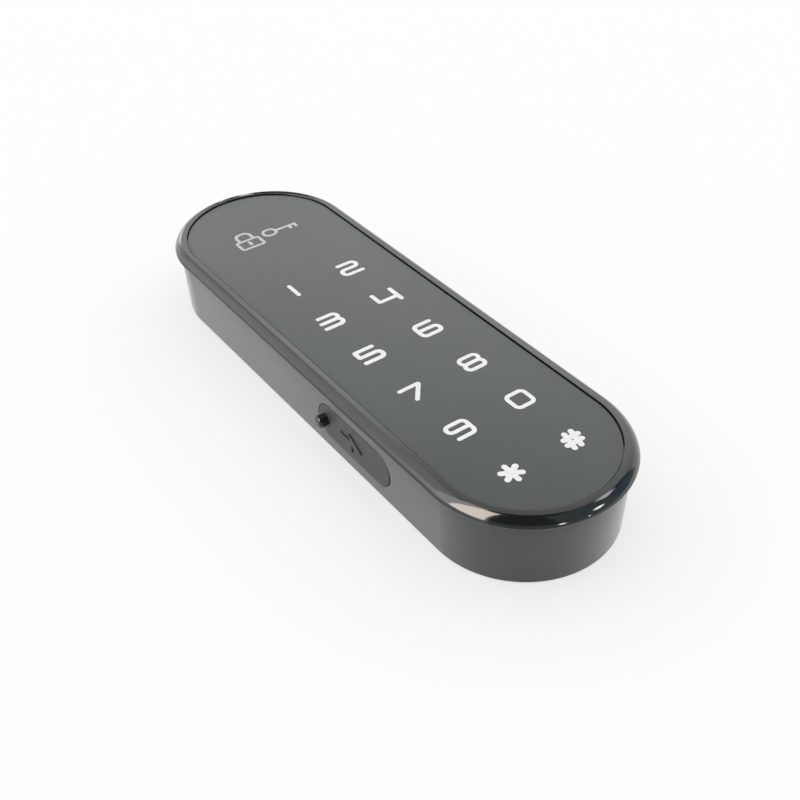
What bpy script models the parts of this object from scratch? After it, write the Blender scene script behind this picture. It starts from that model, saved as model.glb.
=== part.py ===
"""Electronic cabinet lock front: a touch keypad with two half-round ends, lying on its flat back.

Metres, +Z up. X is the width, Y the length with the key marks upright towards +Y, and Z the
thickness with the touch panel on top. The origin is the middle of the flat back.
The outer sizes follow from what is inside: three AAA cells side by side set the width, and the
lower mounting insert, output gear, worm drive, middle screws, battery bay and upper mounting
insert follow one another along the length.
"""

import math

import bmesh
import bpy
from mathutils import Matrix, Vector

# Clearances and facets
CLEARANCE = 0.0003  # between pieces that rest on each other or run in each other
FILM_CLEARANCE = 0.0001  # between stacked sheets and around soldered pieces
CUT_OVERRUN = 0.001  # how far a cutter runs past the face that it opens
SINK = 0.0005  # how deep a boss, post or rib is rooted in what carries it
ARC_STEPS = 18  # facets of each half-round end

# Battery cells, AAA size
CELL_COUNT = 3
CELL_RADIUS = 0.00525
CELL_LENGTH = 0.0445  # with its nub
CELL_NUB_RADIUS = 0.0019
CELL_NUB_LENGTH = 0.0011
CELL_EDGE = 0.0005
CELL_SPACING = 0.0003
CELL_SIDES = 16

# Battery bay, contacts and springs
BAY_WALL = 0.0008
BAY_END_WALL = 0.001
BAY_SIDE_GAP = 0.00015
BAY_TOP_STEP = 0.001  # the bay's walls end this far under the top of the cells
BAY_RIB = 0.001
CONTACT_THICKNESS = 0.0004
CONTACT_WIDTH = 0.008
CONTACT_HEIGHT = 0.0075
CONTACT_TAIL_WIDTH = 0.002
SPRING_LENGTH = 0.0034
SPRING_BASE_RADIUS = 0.0034
SPRING_TIP_RADIUS = 0.0018
SPRING_WIRE_RADIUS = 0.00025
SPRING_TURNS = 3
SPRING_TURN_POINTS = 10

# Back plate and its seal
PLATE_THICKNESS = 0.002
PLATE_MARGIN = 0.001
PLATE_BEVEL = 0.0003
SEAL_GROOVE_DEPTH = 0.0005
SEAL_GROOVE_LOW = 0.0007
SEAL_THICKNESS = 0.0005

# Battery door
DOOR_THICKNESS = 0.001
DOOR_LEDGE = 0.0006
DOOR_END_LEDGE = 0.002
DOOR_CORNER = 0.002
DOOR_TAB_WIDTH = 0.0076
DOOR_TAB_LENGTH = 0.0044
DOOR_TONGUE_WIDTH = 0.004
DOOR_TONGUE_LENGTH = 0.0009
DOOR_TONGUE_THICKNESS = 0.0004
DOOR_TONGUE_SPREAD = 0.009
DOOR_GRIP_COUNT = 5
DOOR_GRIP_PITCH = 0.0016
DOOR_GRIP_LENGTH = 0.009
DOOR_GRIP_WIDTH = 0.0007
DOOR_GRIP_DEPTH = 0.0004
DOOR_GRIP_INSET = 0.004

# Motor, worm and gears
MODULE = 0.0005
BACKLASH = 0.00012
WORM_RADIUS = 0.0025
WORM_LENGTH = 0.0085
WORM_TURN_POINTS = 16
WORM_PITCH_POINTS = 6
WHEEL_TEETH = 20
WHEEL_WIDTH = 0.0036
PINION_TEETH = 10
HUB_TEETH = 40
GEAR_TIP_SHARE = 0.85  # of the module
GEAR_ROOT_SHARE = 1.2  # of the module
PRESSURE_ANGLE = math.radians(20)
MOTOR_WIDTH = 0.012
MOTOR_HEIGHT = 0.010
MOTOR_LENGTH = 0.015
MOTOR_SIDE_GAP = 0.0008
MOTOR_NOSE_RADIUS = 0.002
MOTOR_NOSE_LENGTH = 0.0008
MOTOR_CAP_LENGTH = 0.0012
MOTOR_CAP_INSET = 0.0005
SHAFT_RADIUS = 0.0005
SHAFT_TO_WORM = 0.0006
SHAFT_TIP = 0.0009
BRACKET_THICKNESS = 0.001
BRACKET_FOOT_LENGTH = 0.005
BRACKET_FOOT_WIDTH = 0.0046
MOTOR_RIB_HEIGHT = 0.004
MOTOR_RIB_THICKNESS = 0.001
MOTOR_RIB_INSET = 0.002
LEAD_RADIUS = 0.00045
LEAD_SPREAD = 0.003
LEAD_INSET = 0.0025  # from the motor's axis towards the middle
LEAD_REACH = 0.0034

# Output hub, its bush and the idler's pin
HUB_RADIUS = 0.0055
HUB_SOCKET = 0.0062  # across flats, for a 6 mm square spindle
HUB_SOCKET_DEPTH = 0.007
HUB_FLOOR = 0.0009
HUB_NECK_RADIUS = 0.004
HUB_SPIGOT_RADIUS = 0.0025
HUB_REAR_RECESS = 0.0003
HUB_SIDES = 24
BUSH_WALL = 0.0012
BUSH_FLANGE_WIDTH = 0.0012
BUSH_FLANGE_THICKNESS = 0.0006
MAGNET_RADIUS = 0.0015
MAGNET_THICKNESS = 0.001
IDLER_PIN_RADIUS = 0.00075
IDLER_PIN_SUNK = 0.0012
IDLER_BOSS_RADIUS = 0.002
IDLER_COLLAR_RADIUS = 0.0018
GEAR_PLATE_THICKNESS = 0.0012
GEAR_PLATE_HEADROOM = 0.0013
POST_RADIUS = 0.0024
POST_GAP = 0.0011

# Screws: head radius, head height, shank radius and the clearance radius round the shank
SCREW_HEAD_RADIUS = 0.0016
SCREW_HEAD_HEIGHT = 0.0008
SCREW_SHANK_RADIUS = 0.0007
SCREW_LENGTH = 0.0055
BACK_HEAD_RADIUS = 0.0017
BACK_HEAD_HEIGHT = 0.001
BACK_SHANK_RADIUS = 0.0009
BACK_SCREW_LENGTH = 0.0085
BOARD_HEAD_RADIUS = 0.0013
BOARD_HEAD_HEIGHT = 0.0006
BOARD_SHANK_RADIUS = 0.0005
BOARD_SCREW_LENGTH = 0.0024
SCREW_SIDES = 8

# Main board and what is on it
BOARD_HEADROOM = 0.0006
BOARD_THICKNESS = 0.001
SHEET_CLEARANCE = 0.0002
BOARD_SCREW_EDGE = 0.0015
BOARD_SCREW_ABOVE_IDLER = 0.002
BOARD_SCREW_FROM_END = 0.0112
CONTROLLER_SIZE = 0.007
TOUCH_CHIP_LENGTH = 0.0065
TOUCH_CHIP_WIDTH = 0.005
CHIP_THICKNESS = 0.0009
CONTROLLER_ABOVE_IDLER = 0.0125
CHIP_SPACING = 0.00225
SENSOR_SIZE = 0.003
SENSOR_THICKNESS = 0.0008
BUZZER_RADIUS = 0.0042
BUZZER_HEIGHT = 0.003
BUZZER_PORT_RADIUS = 0.0008
BUZZER_X = 0.007
BUZZER_BELOW_BAY = 0.0068
LED_SIZE = 0.0012
LED_HEIGHT = 0.0005

# Keys, light guide and panel
KEY_PITCH = 0.015
KEY_ROWS = 6
KEY_END_OFFSET = 0.00589  # from the lower arc centre outwards to the lowest row
WINDOW_WIDTH = 0.0084
WINDOW_LENGTH = 0.0076
GUIDE_RADIUS = 0.013
GUIDE_THICKNESS = 0.0005
GUIDE_POCKET = 0.0016
GUIDE_POCKET_DEPTH = 0.0009
DECK_THICKNESS = 0.001
ADHESIVE_THICKNESS = 0.00015
ADHESIVE_WIDTH = 0.0016
ADHESIVE_INSET = 0.0003
PANEL_THICKNESS = 0.0011
PANEL_RECESS = 0.00015
PANEL_EDGE = 0.00015

# Bezel
PANEL_GROOVE = 0.0003
RIM_FLAT = 0.0013
RIM_SLOPE = 0.00335  # radius of the rim's sloping outer face
RIM_SLOPE_START = 65  # degrees above level where the flat ring ends
RIM_SLOPE_END = 21
RIM_SLOPE_STEPS = 5
RIM_HEIGHT = 0.0022
RIM_LOWER_EDGE = 0.0003
RIM_OVERHANG = 0.0012
SKIRT_WALL = 0.0012
SKIRT_DEPTH = 0.002
SNAP_BEAD = 0.0002
SNAP_HEIGHT = 0.0006
SNAP_BELOW_RIM = 0.0006

# Body shell
SHELL_WALL = 0.0018
SHELL_DRAFT = 0.0004
SHELL_FOOT_EDGE = 0.0004
BOSS_RADIUS = 0.0035
BOSS_MERGE = 0.0003
BOSS_ANGLE = math.radians(40)
BOSS_SIDES = 16
INSERT_RADIUS = 0.0028
INSERT_BORE = 0.00165
INSERT_LENGTH = 0.008
INSERT_RECESS = 0.0002
INSERT_BOSS_WALL = 0.0008
INSERT_END_OFFSET = 0.01175  # from the arc centre outwards
INSERT_RIB = 0.0016

# Gaps between the zones along the length
GAP_INSERT_TO_GEAR = 0.0018
GAP_WORM_TO_BRACKET = 0.0015
MIDDLE_ZONE = 0.01022
GAP_BAY_TO_INSERT = 0.00306

# Port on the -X side
PORT_LENGTH = 0.0256
PORT_HEIGHT = 0.0087
PORT_FLOOR_DEPTH = 0.0021
PORT_FLOOR_WALL = 0.002
PORT_FROM_HUB = 0.02329
PORT_RISE = 0.00025
PORT_PAD_MARGIN = 0.0012
COVER_GAP = 0.00025
COVER_THICKNESS = 0.0012
ANCHOR_LENGTH = 0.0026
HINGE_GAP = 0.0003
PLUG_LENGTH = 0.0088
PLUG_HEIGHT = 0.0038
PLUG_DEPTH = 0.0016
PLUG_GAP = 0.0004
PULL_RADIUS = 0.00115
PULL_LENGTH = 0.0024
PULL_ROUND = 0.0006
PULL_STEM_RADIUS = 0.0006
PULL_INSET = 0.00285
PULL_SIDES = 12
MARK_HEIGHT = 0.0002
MARK_LENGTH = 0.0072
MARK_WIDTH = 0.0042
MARK_OFFSET = 0.0005
SOCKET_LENGTH = 0.0076
SOCKET_HEIGHT = 0.0027
SOCKET_DEPTH = 0.0052
SOCKET_WALL = 0.0004
SOCKET_CORNER = 0.0007
SOCKET_TONGUE_THICKNESS = 0.0006
SOCKET_TONGUE_WIDTH = 0.0046
SOCKET_BACK_WALL = 0.0008
PORT_BOARD_THICKNESS = 0.001
PORT_BOARD_LENGTH = 0.014
PORT_BOARD_WIDTH = 0.0078
PORT_POST_RADIUS = 0.0014
PORT_POST_SPREAD = 0.0045
PORT_POST_EDGE = 0.0018
HEADER_LENGTH = 0.0084
HEADER_WIDTH = 0.002
HEADER_HEIGHT = 0.0018
HEADER_PINS = 4
HEADER_PIN = 0.0005
HEADER_EDGE = 0.0012

# Setup button on the back
BUTTON_RADIUS = 0.0015
BUTTON_X = 0.0138
BUTTON_BELOW_HUB = 0.0042
BUTTON_RECESS = 0.0005
BUTTON_GUIDE_WALL = 0.0008
BUTTON_GUIDE_HEIGHT = 0.003
BUTTON_FLANGE = 0.0007
BUTTON_FLANGE_THICKNESS = 0.0007
BUTTON_TRAVEL = 0.0006
SWITCH_SIZE = 0.006
SWITCH_HEIGHT = 0.002
NIB_RADIUS = 0.0009
NIB_PROUD = 0.0008

# Radii worked out from the width of the battery bay
CELL_PITCH = 2 * CELL_RADIUS + CELL_SPACING
BAY_HALF_INSIDE = CELL_PITCH * (CELL_COUNT - 1) / 2 + CELL_RADIUS + BAY_SIDE_GAP
BAY_HALF_WIDTH = BAY_HALF_INSIDE + BAY_WALL
PLATE_RADIUS = BAY_HALF_WIDTH + PLATE_MARGIN
SHELL_INNER_RADIUS = PLATE_RADIUS + CLEARANCE
SHELL_FOOT_RADIUS = SHELL_INNER_RADIUS + SHELL_WALL
SHELL_TOP_RADIUS = SHELL_FOOT_RADIUS + SHELL_DRAFT
RIM_RADIUS = SHELL_TOP_RADIUS + RIM_OVERHANG
RIM_CREASE_RADIUS = RIM_RADIUS - RIM_SLOPE * (
    math.cos(math.radians(RIM_SLOPE_END)) - math.cos(math.radians(RIM_SLOPE_START))
)
PANEL_WELL_RADIUS = RIM_CREASE_RADIUS - RIM_FLAT
PANEL_RADIUS = PANEL_WELL_RADIUS - PANEL_GROOVE
SKIRT_RADIUS = SHELL_INNER_RADIUS - CLEARANCE
SKIRT_INNER_RADIUS = SKIRT_RADIUS - SKIRT_WALL
BOARD_RADIUS = SKIRT_INNER_RADIUS - CLEARANCE
BOSS_REACH = SHELL_INNER_RADIUS + BOSS_MERGE - BOSS_RADIUS

# Heights, from the back plate up to the panel
TALLEST_INSIDE = max(2 * CELL_RADIUS, CLEARANCE + MOTOR_HEIGHT)
CELL_Z = PLATE_THICKNESS + CELL_RADIUS
MOTOR_Z = PLATE_THICKNESS + CLEARANCE + MOTOR_HEIGHT / 2
BOARD_BOTTOM = PLATE_THICKNESS + TALLEST_INSIDE + BOARD_HEADROOM
BOARD_TOP = BOARD_BOTTOM + BOARD_THICKNESS
GUIDE_BOTTOM = BOARD_TOP + SHEET_CLEARANCE
GUIDE_TOP = GUIDE_BOTTOM + GUIDE_THICKNESS
DECK_BOTTOM = GUIDE_TOP + SHEET_CLEARANCE
DECK_TOP = DECK_BOTTOM + DECK_THICKNESS
ADHESIVE_BOTTOM = DECK_TOP + FILM_CLEARANCE
PANEL_BOTTOM = ADHESIVE_BOTTOM + ADHESIVE_THICKNESS + FILM_CLEARANCE
PANEL_TOP = PANEL_BOTTOM + PANEL_THICKNESS
TOTAL_HEIGHT = PANEL_TOP + PANEL_RECESS
RIM_UNDERSIDE = TOTAL_HEIGHT - RIM_HEIGHT
SHELL_TOP = RIM_UNDERSIDE - CLEARANCE
SKIRT_BOTTOM = RIM_UNDERSIDE - SKIRT_DEPTH
BOSS_TOP = BOARD_BOTTOM - CLEARANCE
CHIP_TOP = BOARD_BOTTOM - FILM_CLEARANCE
GEAR_PLATE_TOP = BOARD_BOTTOM - GEAR_PLATE_HEADROOM
GEAR_PLATE_BOTTOM = GEAR_PLATE_TOP - GEAR_PLATE_THICKNESS
WHEEL_BOTTOM = MOTOR_Z - WHEEL_WIDTH / 2
WHEEL_TOP = MOTOR_Z + WHEEL_WIDTH / 2
BUSH_TOP = PLATE_THICKNESS + FILM_CLEARANCE + BUSH_FLANGE_THICKNESS
HUB_GEAR_BOTTOM = BUSH_TOP + CLEARANCE
HUB_GEAR_TOP = WHEEL_BOTTOM - CLEARANCE
DOOR_LEDGE_Z = DOOR_THICKNESS + CLEARANCE

# Gear sizes
GEAR_TIP = GEAR_TIP_SHARE * MODULE
HUB_OUTER_RADIUS = MODULE * HUB_TEETH / 2 + GEAR_TIP
GEAR_CENTRES = MODULE * (HUB_TEETH + PINION_TEETH) / 2
WORM_CENTRES = WORM_RADIUS + MODULE * WHEEL_TEETH / 2
WORM_LEAD = math.pi * MODULE
LEAD_ANGLE = math.atan(WORM_LEAD / (2 * math.pi * WORM_RADIUS))

# Places along the length, first measured from the lower mounting insert
INSERT_BOSS_RADIUS = INSERT_RADIUS + CLEARANCE + INSERT_BOSS_WALL
MOTOR_X = SHELL_INNER_RADIUS - MOTOR_SIDE_GAP - MOTOR_WIDTH / 2
IDLER_X = MOTOR_X - WORM_CENTRES
HUB_FROM_INSERT = INSERT_BOSS_RADIUS + GAP_INSERT_TO_GEAR + HUB_OUTER_RADIUS
IDLER_FROM_HUB = math.sqrt(GEAR_CENTRES**2 - IDLER_X**2)
BRACKET_FROM_IDLER = WORM_LENGTH / 2 + GAP_WORM_TO_BRACKET
MOTOR_FROM_BRACKET = BRACKET_THICKNESS + CLEARANCE
CONTACT_STACK = FILM_CLEARANCE + CONTACT_THICKNESS
BAY_INSIDE_LENGTH = (
    CONTACT_STACK + CLEARANCE + CELL_LENGTH
    + FILM_CLEARANCE + SPRING_LENGTH + FILM_CLEARANCE + CONTACT_STACK
)
BAY_LENGTH = BAY_INSIDE_LENGTH + 2 * BAY_END_WALL
INSERT_SPAN = (
    HUB_FROM_INSERT + IDLER_FROM_HUB + BRACKET_FROM_IDLER + MOTOR_FROM_BRACKET
    + MOTOR_LENGTH + MIDDLE_ZONE + BAY_LENGTH + GAP_BAY_TO_INSERT + INSERT_BOSS_RADIUS
)
INSERT_Y = INSERT_SPAN / 2
HALF_STRAIGHT = INSERT_Y - INSERT_END_OFFSET
HUB_Y = HUB_FROM_INSERT - INSERT_Y
IDLER_Y = HUB_Y + IDLER_FROM_HUB
BRACKET_Y = IDLER_Y + BRACKET_FROM_IDLER
MOTOR_Y = BRACKET_Y + MOTOR_FROM_BRACKET
MOTOR_END_Y = MOTOR_Y + MOTOR_LENGTH
BAY_Y = MOTOR_END_Y + MIDDLE_ZONE
BAY_END_Y = BAY_Y + BAY_LENGTH
MIDDLE_SCREW_Y = MOTOR_END_Y + MIDDLE_ZONE / 2
PORT_Y = HUB_Y + PORT_FROM_HUB
PORT_Z = CELL_Z + PORT_RISE
LOWEST_KEY_Y = -HALF_STRAIGHT - KEY_END_OFFSET
DOOR_SCREW_Y = BAY_Y - DOOR_TAB_LENGTH / 2
BOARD_SCREW_X = BOARD_RADIUS - BOARD_SCREW_EDGE

# Depths of the port, measured along X from the wall at the port's height
PORT_WALL_X = -SHELL_FOOT_RADIUS - SHELL_DRAFT * PORT_Z / SHELL_TOP
PORT_FLOOR_X = PORT_WALL_X + PORT_FLOOR_DEPTH
PORT_PAD_X = PORT_FLOOR_X + PORT_FLOOR_WALL
COVER_BACK_X = PORT_FLOOR_X - CLEARANCE
COVER_FACE_X = COVER_BACK_X - COVER_THICKNESS
COVER_HINGE_Y = PORT_Y - PORT_LENGTH / 2 + COVER_GAP + ANCHOR_LENGTH + HINGE_GAP / 2
PULL_Y = PORT_Y + PORT_LENGTH / 2 - PULL_INSET

# The gear plate stands on three posts: around the hub, and beside the idler
POST_PLACES = (
    (-HUB_OUTER_RADIUS - POST_GAP - POST_RADIUS + MODULE, HUB_Y + HUB_OUTER_RADIUS / 2 + POST_GAP),
    (HUB_OUTER_RADIUS + POST_GAP / 2 + POST_RADIUS, HUB_Y - HUB_OUTER_RADIUS / 2 + MODULE),
    (IDLER_X - MODULE * WHEEL_TEETH / 2 - POST_RADIUS - POST_GAP, IDLER_Y + POST_RADIUS + 2 * POST_GAP),
)
BUTTON_PLACE = (-BUTTON_X, HUB_Y - BUTTON_BELOW_HUB)

# Colours (red, green, blue), roughness and metallic of each finish
FINISHES = {
    "matte_black": ((0.035, 0.037, 0.038), 0.6, 0.0),
    "gloss_black": ((0.006, 0.006, 0.007), 0.12, 0.0),
    "panel_black": ((0.05, 0.056, 0.056), 0.38, 0.0),
    "rubber_black": ((0.03, 0.032, 0.032), 0.7, 0.0),
    "foam_grey": ((0.1, 0.1, 0.1), 0.9, 0.0),
    "diffuser_white": ((0.8, 0.8, 0.78), 0.5, 0.0),
    "board_green": ((0.02, 0.16, 0.07), 0.45, 0.0),
    "chip_black": ((0.02, 0.02, 0.02), 0.5, 0.0),
    "natural_nylon": ((0.75, 0.73, 0.66), 0.5, 0.0),
    "steel": ((0.56, 0.56, 0.57), 0.35, 1.0),
    "nickel": ((0.7, 0.69, 0.66), 0.25, 1.0),
    "brass": ((0.78, 0.58, 0.25), 0.3, 1.0),
    "bronze": ((0.55, 0.36, 0.18), 0.4, 1.0),
    "cell_green": ((0.05, 0.25, 0.12), 0.35, 0.3),
    "seal_red": ((0.5, 0.05, 0.03), 0.6, 0.0),
    "lead_red": ((0.6, 0.03, 0.02), 0.5, 0.0),
    "lead_black": ((0.02, 0.02, 0.02), 0.5, 0.0),
}

parts = bpy.data.collections.new("electronic_cabinet_lock")
cutters = bpy.data.collections.new("cutters")


# Helpers for meshes and objects


def clear_scene():
    for old in list(bpy.data.objects):
        bpy.data.objects.remove(old, do_unlink=True)
    for collection in (parts, cutters):
        bpy.context.scene.collection.children.link(collection)


def material(name, finish):
    colour, roughness, metallic = FINISHES[finish]
    made = bpy.data.materials.new(name)
    made.use_nodes = True
    shader = made.node_tree.nodes["Principled BSDF"]
    shader.inputs["Base Color"].default_value = (*colour, 1.0)
    shader.inputs["Roughness"].default_value = roughness
    shader.inputs["Metallic"].default_value = metallic
    made.diffuse_color = (*colour, 1.0)
    return made


def add_object(name, bm, collection):
    bmesh.ops.remove_doubles(bm, verts=bm.verts, dist=1e-7)
    bmesh.ops.recalc_face_normals(bm, faces=bm.faces)
    mesh = bpy.data.meshes.new(name)
    bm.to_mesh(mesh)
    bm.free()
    made = bpy.data.objects.new(name, mesh)
    collection.objects.link(made)
    return made


def part(name, bm, finish, smooth=True):
    """A sub-part of the lock, with its own material."""
    made = add_object(name, bm, parts)
    made.data.materials.append(material(name, finish))
    if smooth:
        made.data.shade_smooth()
        made.data.set_sharp_from_angle(angle=math.radians(35))
    return made


def cutter(name, bm):
    made = add_object(name, bm, cutters)
    made.hide_render = True
    made.display_type = "WIRE"
    return made


def boolean(target, operation, tool):
    modifier = target.modifiers.new(tool.name, "BOOLEAN")
    modifier.operation = operation
    modifier.solver = "EXACT"
    modifier.object = tool


def cut(target, bm):
    boolean(target, "DIFFERENCE", cutter(f"{target.name}_cut_{len(target.modifiers)}", bm))


def join(target, bm):
    boolean(target, "UNION", cutter(f"{target.name}_add_{len(target.modifiers)}", bm))


def set_origin(made, point):
    """Moves a piece's origin to a point on its joint's axis, leaving its shape in place."""
    made.data.transform(Matrix.Translation(-Vector(point)))
    made.location = point


# Shapes added to a bmesh


def add_box(bm, low, high):
    size = Vector(high) - Vector(low)
    middle = (Vector(high) + Vector(low)) / 2
    bmesh.ops.create_cube(bm, size=1, matrix=Matrix.Translation(middle) @ Matrix.Diagonal((*size, 1)))


def add_cylinder(bm, x, y, low, high, radius, sides=20, top_radius=None):
    middle = Matrix.Translation((x, y, (low + high) / 2))
    bmesh.ops.create_cone(
        bm, cap_ends=True, segments=sides, radius1=radius,
        radius2=radius if top_radius is None else top_radius, depth=high - low, matrix=middle,
    )


def add_cylinder_along(bm, axis, start, length, radius, sides=20, top_radius=None):
    """A cylinder from a start point along +X, -X, +Y or -Y."""
    turn = Vector((0, 0, 1)).rotation_difference(Vector(axis)).to_matrix().to_4x4()
    middle = Matrix.Translation(Vector(start) + Vector(axis) * length / 2)
    bmesh.ops.create_cone(
        bm, cap_ends=True, segments=sides, radius1=radius,
        radius2=radius if top_radius is None else top_radius, depth=length, matrix=middle @ turn,
    )


def add_prism(bm, outline, low, high, turn=None):
    """Extrudes a flat outline from low to high, and turns it if it doesn't stand along Z."""
    corners = [bm.verts.new((x, y, low)) for x, y in outline]
    face = bm.faces.new(corners)
    extruded = bmesh.ops.extrude_face_region(bm, geom=[face])
    moved = [item for item in extruded["geom"] if isinstance(item, bmesh.types.BMVert)]
    bmesh.ops.translate(bm, verts=moved, vec=(0, 0, high - low))
    if turn is not None:
        bmesh.ops.transform(bm, matrix=turn, verts=corners + moved)


def slot_outline(length, height, steps=8):
    """Two half circles joined by straight sides, with its length along the first axis."""
    radius = height / 2
    reach = length / 2 - radius
    points = []
    for side in (1, -1):
        for step in range(steps + 1):
            angle = math.pi * (step / steps - 1 / 2)
            points.append((side * (reach + radius * math.cos(angle)), side * radius * math.sin(angle)))
    return points


def rounded_outline(half_x, low_y, high_y, radius, steps=4):
    """A rectangle with rounded corners."""
    points = []
    corners = ((1, 1), (-1, 1), (-1, -1), (1, -1))
    for index, (side_x, side_y) in enumerate(corners):
        centre_x = side_x * (half_x - radius)
        centre_y = (high_y - radius) if side_y > 0 else (low_y + radius)
        for step in range(steps + 1):
            angle = math.pi / 2 * (index + step / steps)
            points.append((centre_x + radius * math.cos(angle), centre_y + radius * math.sin(angle)))
    return points


def swept(profile, closed):
    """Takes a profile of (radius, height) points round the lock's outline: along one side, round
    the upper end, back along the other side and round the lower end. An open profile's two ends
    are closed with flat faces, which makes a plate."""
    bm = bmesh.new()
    column = [bm.verts.new((radius, -HALF_STRAIGHT, height)) for radius, height in profile]
    edges = [bm.edges.new(pair) for pair in zip(column, column[1:])]
    if closed:
        edges.append(bm.edges.new((column[-1], column[0])))
    for side in (1, -1):
        pushed = bmesh.ops.extrude_edge_only(bm, edges=edges)["geom"]
        verts = [item for item in pushed if isinstance(item, bmesh.types.BMVert)]
        edges = [item for item in pushed if isinstance(item, bmesh.types.BMEdge)]
        bmesh.ops.translate(bm, verts=verts, vec=(0, side * 2 * HALF_STRAIGHT, 0))
        turned = bmesh.ops.spin(
            bm, geom=verts + edges, cent=(0, side * HALF_STRAIGHT, 0), axis=(0, 0, 1),
            angle=math.pi, steps=ARC_STEPS, use_duplicate=False,
        )["geom_last"]
        edges = [item for item in turned if isinstance(item, bmesh.types.BMEdge)]
    bmesh.ops.remove_doubles(bm, verts=bm.verts, dist=1e-7)
    if not closed:
        bmesh.ops.holes_fill(bm, edges=[edge for edge in bm.edges if edge.is_boundary], sides=0)
    return bm


def arc_profile(centre, radius, start, end, steps):
    """Points on a round edge of a profile."""
    points = []
    for step in range(steps + 1):
        angle = math.radians(start + (end - start) * step / steps)
        points.append((centre[0] + radius * math.cos(angle), centre[1] + radius * math.sin(angle)))
    return points


def turned_shape(profile, x, y, sides):
    """A turned shape from (radius, height) points, closed on its axis."""
    bm = bmesh.new()
    column = [bm.verts.new((x + radius, y, height)) for radius, height in profile]
    edges = [bm.edges.new(pair) for pair in zip(column, column[1:])]
    bmesh.ops.spin(
        bm, geom=column + edges, cent=(x, y, 0), axis=(0, 0, 1),
        angle=2 * math.pi, steps=sides, use_duplicate=False,
    )
    bmesh.ops.remove_doubles(bm, verts=bm.verts, dist=1e-7)
    return bm


# Gears


def involute(angle):
    return math.tan(angle) - angle


def gear_outline(teeth, tooth_angle):
    """One spur gear's outline as (radius, angle) points, with a tooth centred at tooth_angle."""
    pitch = MODULE * teeth / 2
    base = pitch * math.cos(PRESSURE_ANGLE)
    tip = pitch + GEAR_TIP
    root = pitch - GEAR_ROOT_SHARE * MODULE
    half_at_pitch = math.pi / (2 * teeth) - BACKLASH / (4 * pitch)

    def half_angle(radius):
        if radius <= base:
            return half_at_pitch + involute(PRESSURE_ANGLE)
        return half_at_pitch + involute(PRESSURE_ANGLE) - involute(math.acos(base / radius))

    flank = sorted({max(base, root), pitch, tip})
    points = []
    for tooth in range(teeth):
        middle = tooth_angle + 2 * math.pi * tooth / teeth
        rising = [(root, middle - half_angle(root))] if root < flank[0] else []
        rising += [(radius, middle - half_angle(radius)) for radius in flank]
        points += rising + [(radius, 2 * middle - angle) for radius, angle in reversed(rising)]
    return points


def add_gear(bm, x, y, low, high, teeth, tooth_angle, twist=0.0, layers=1):
    """Extrudes a gear's outline in layers, each turned a little for a helical gear."""
    outline = gear_outline(teeth, tooth_angle)
    start = [(x + r * math.cos(a - twist / 2), y + r * math.sin(a - twist / 2)) for r, a in outline]
    face = bm.faces.new([bm.verts.new((px, py, low)) for px, py in start])
    turn = Matrix.Rotation(twist / layers, 3, "Z")
    for _ in range(layers):
        pushed = bmesh.ops.extrude_face_region(bm, geom=[face])["geom"]
        moved = [item for item in pushed if isinstance(item, bmesh.types.BMVert)]
        face = next(item for item in pushed if isinstance(item, bmesh.types.BMFace))
        bmesh.ops.translate(bm, verts=moved, vec=(0, 0, (high - low) / layers))
        bmesh.ops.rotate(bm, verts=moved, cent=(x, y, 0), matrix=turn)
    if layers > 1:
        for inner in [item for item in bm.faces if len(item.verts) > 2 * teeth]:
            heights = {round(vert.co.z, 7) for vert in inner.verts}
            if heights.isdisjoint({round(low, 7), round(high, 7)}):
                bmesh.ops.delete(bm, geom=[inner], context="FACES_ONLY")


def worm_radius_at(phase):
    """The worm's radius over one pitch: crest centred at phase 0, root centred at phase 1/2."""
    half_crest = 1 / 4 - (BACKLASH / 2 + GEAR_TIP * math.tan(PRESSURE_ANGLE) * 2) / (2 * WORM_LEAD)
    flank_height = (1 + GEAR_ROOT_SHARE / GEAR_TIP_SHARE) * GEAR_TIP
    half_foot = half_crest + flank_height * math.tan(PRESSURE_ANGLE) / WORM_LEAD
    away = abs((phase + 1 / 2) % 1 - 1 / 2)
    crest = WORM_RADIUS + GEAR_TIP
    root = WORM_RADIUS - GEAR_ROOT_SHARE * MODULE
    if away <= half_crest:
        return crest
    if away >= half_foot:
        return root
    return crest + (root - crest) * (away - half_crest) / (half_foot - half_crest)


def worm_shape():
    """A grid rolled into a cylinder whose radius follows the thread, with closed ends."""
    bm = bmesh.new()
    rows = math.ceil(WORM_LENGTH / WORM_LEAD * WORM_PITCH_POINTS)
    bmesh.ops.create_grid(bm, x_segments=WORM_TURN_POINTS, y_segments=rows, size=1)
    for vert in bm.verts:
        turn = (vert.co.x + 1) / 2
        along = vert.co.y / 2 * WORM_LENGTH
        radius = worm_radius_at(along / WORM_LEAD - turn)
        angle = 2 * math.pi * turn - math.pi / 2
        vert.co = (
            MOTOR_X + radius * math.sin(angle),
            IDLER_Y + along,
            MOTOR_Z + radius * math.cos(angle),
        )
    bmesh.ops.remove_doubles(bm, verts=bm.verts, dist=1e-7)
    bmesh.ops.holes_fill(bm, edges=[edge for edge in bm.edges if edge.is_boundary], sides=0)
    return bm


# Shell, bezel and panel


def shell_boss_places():
    """The six screw bosses: four at the ends and two at the middle."""
    reach_x = BOSS_REACH * math.cos(BOSS_ANGLE)
    reach_y = HALF_STRAIGHT + BOSS_REACH * math.sin(BOSS_ANGLE)
    return [
        (reach_x, reach_y), (-reach_x, reach_y),
        (BOSS_REACH, MIDDLE_SCREW_Y), (-BOSS_REACH, MIDDLE_SCREW_Y),
        (reach_x, -reach_y), (-reach_x, -reach_y),
    ]


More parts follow.
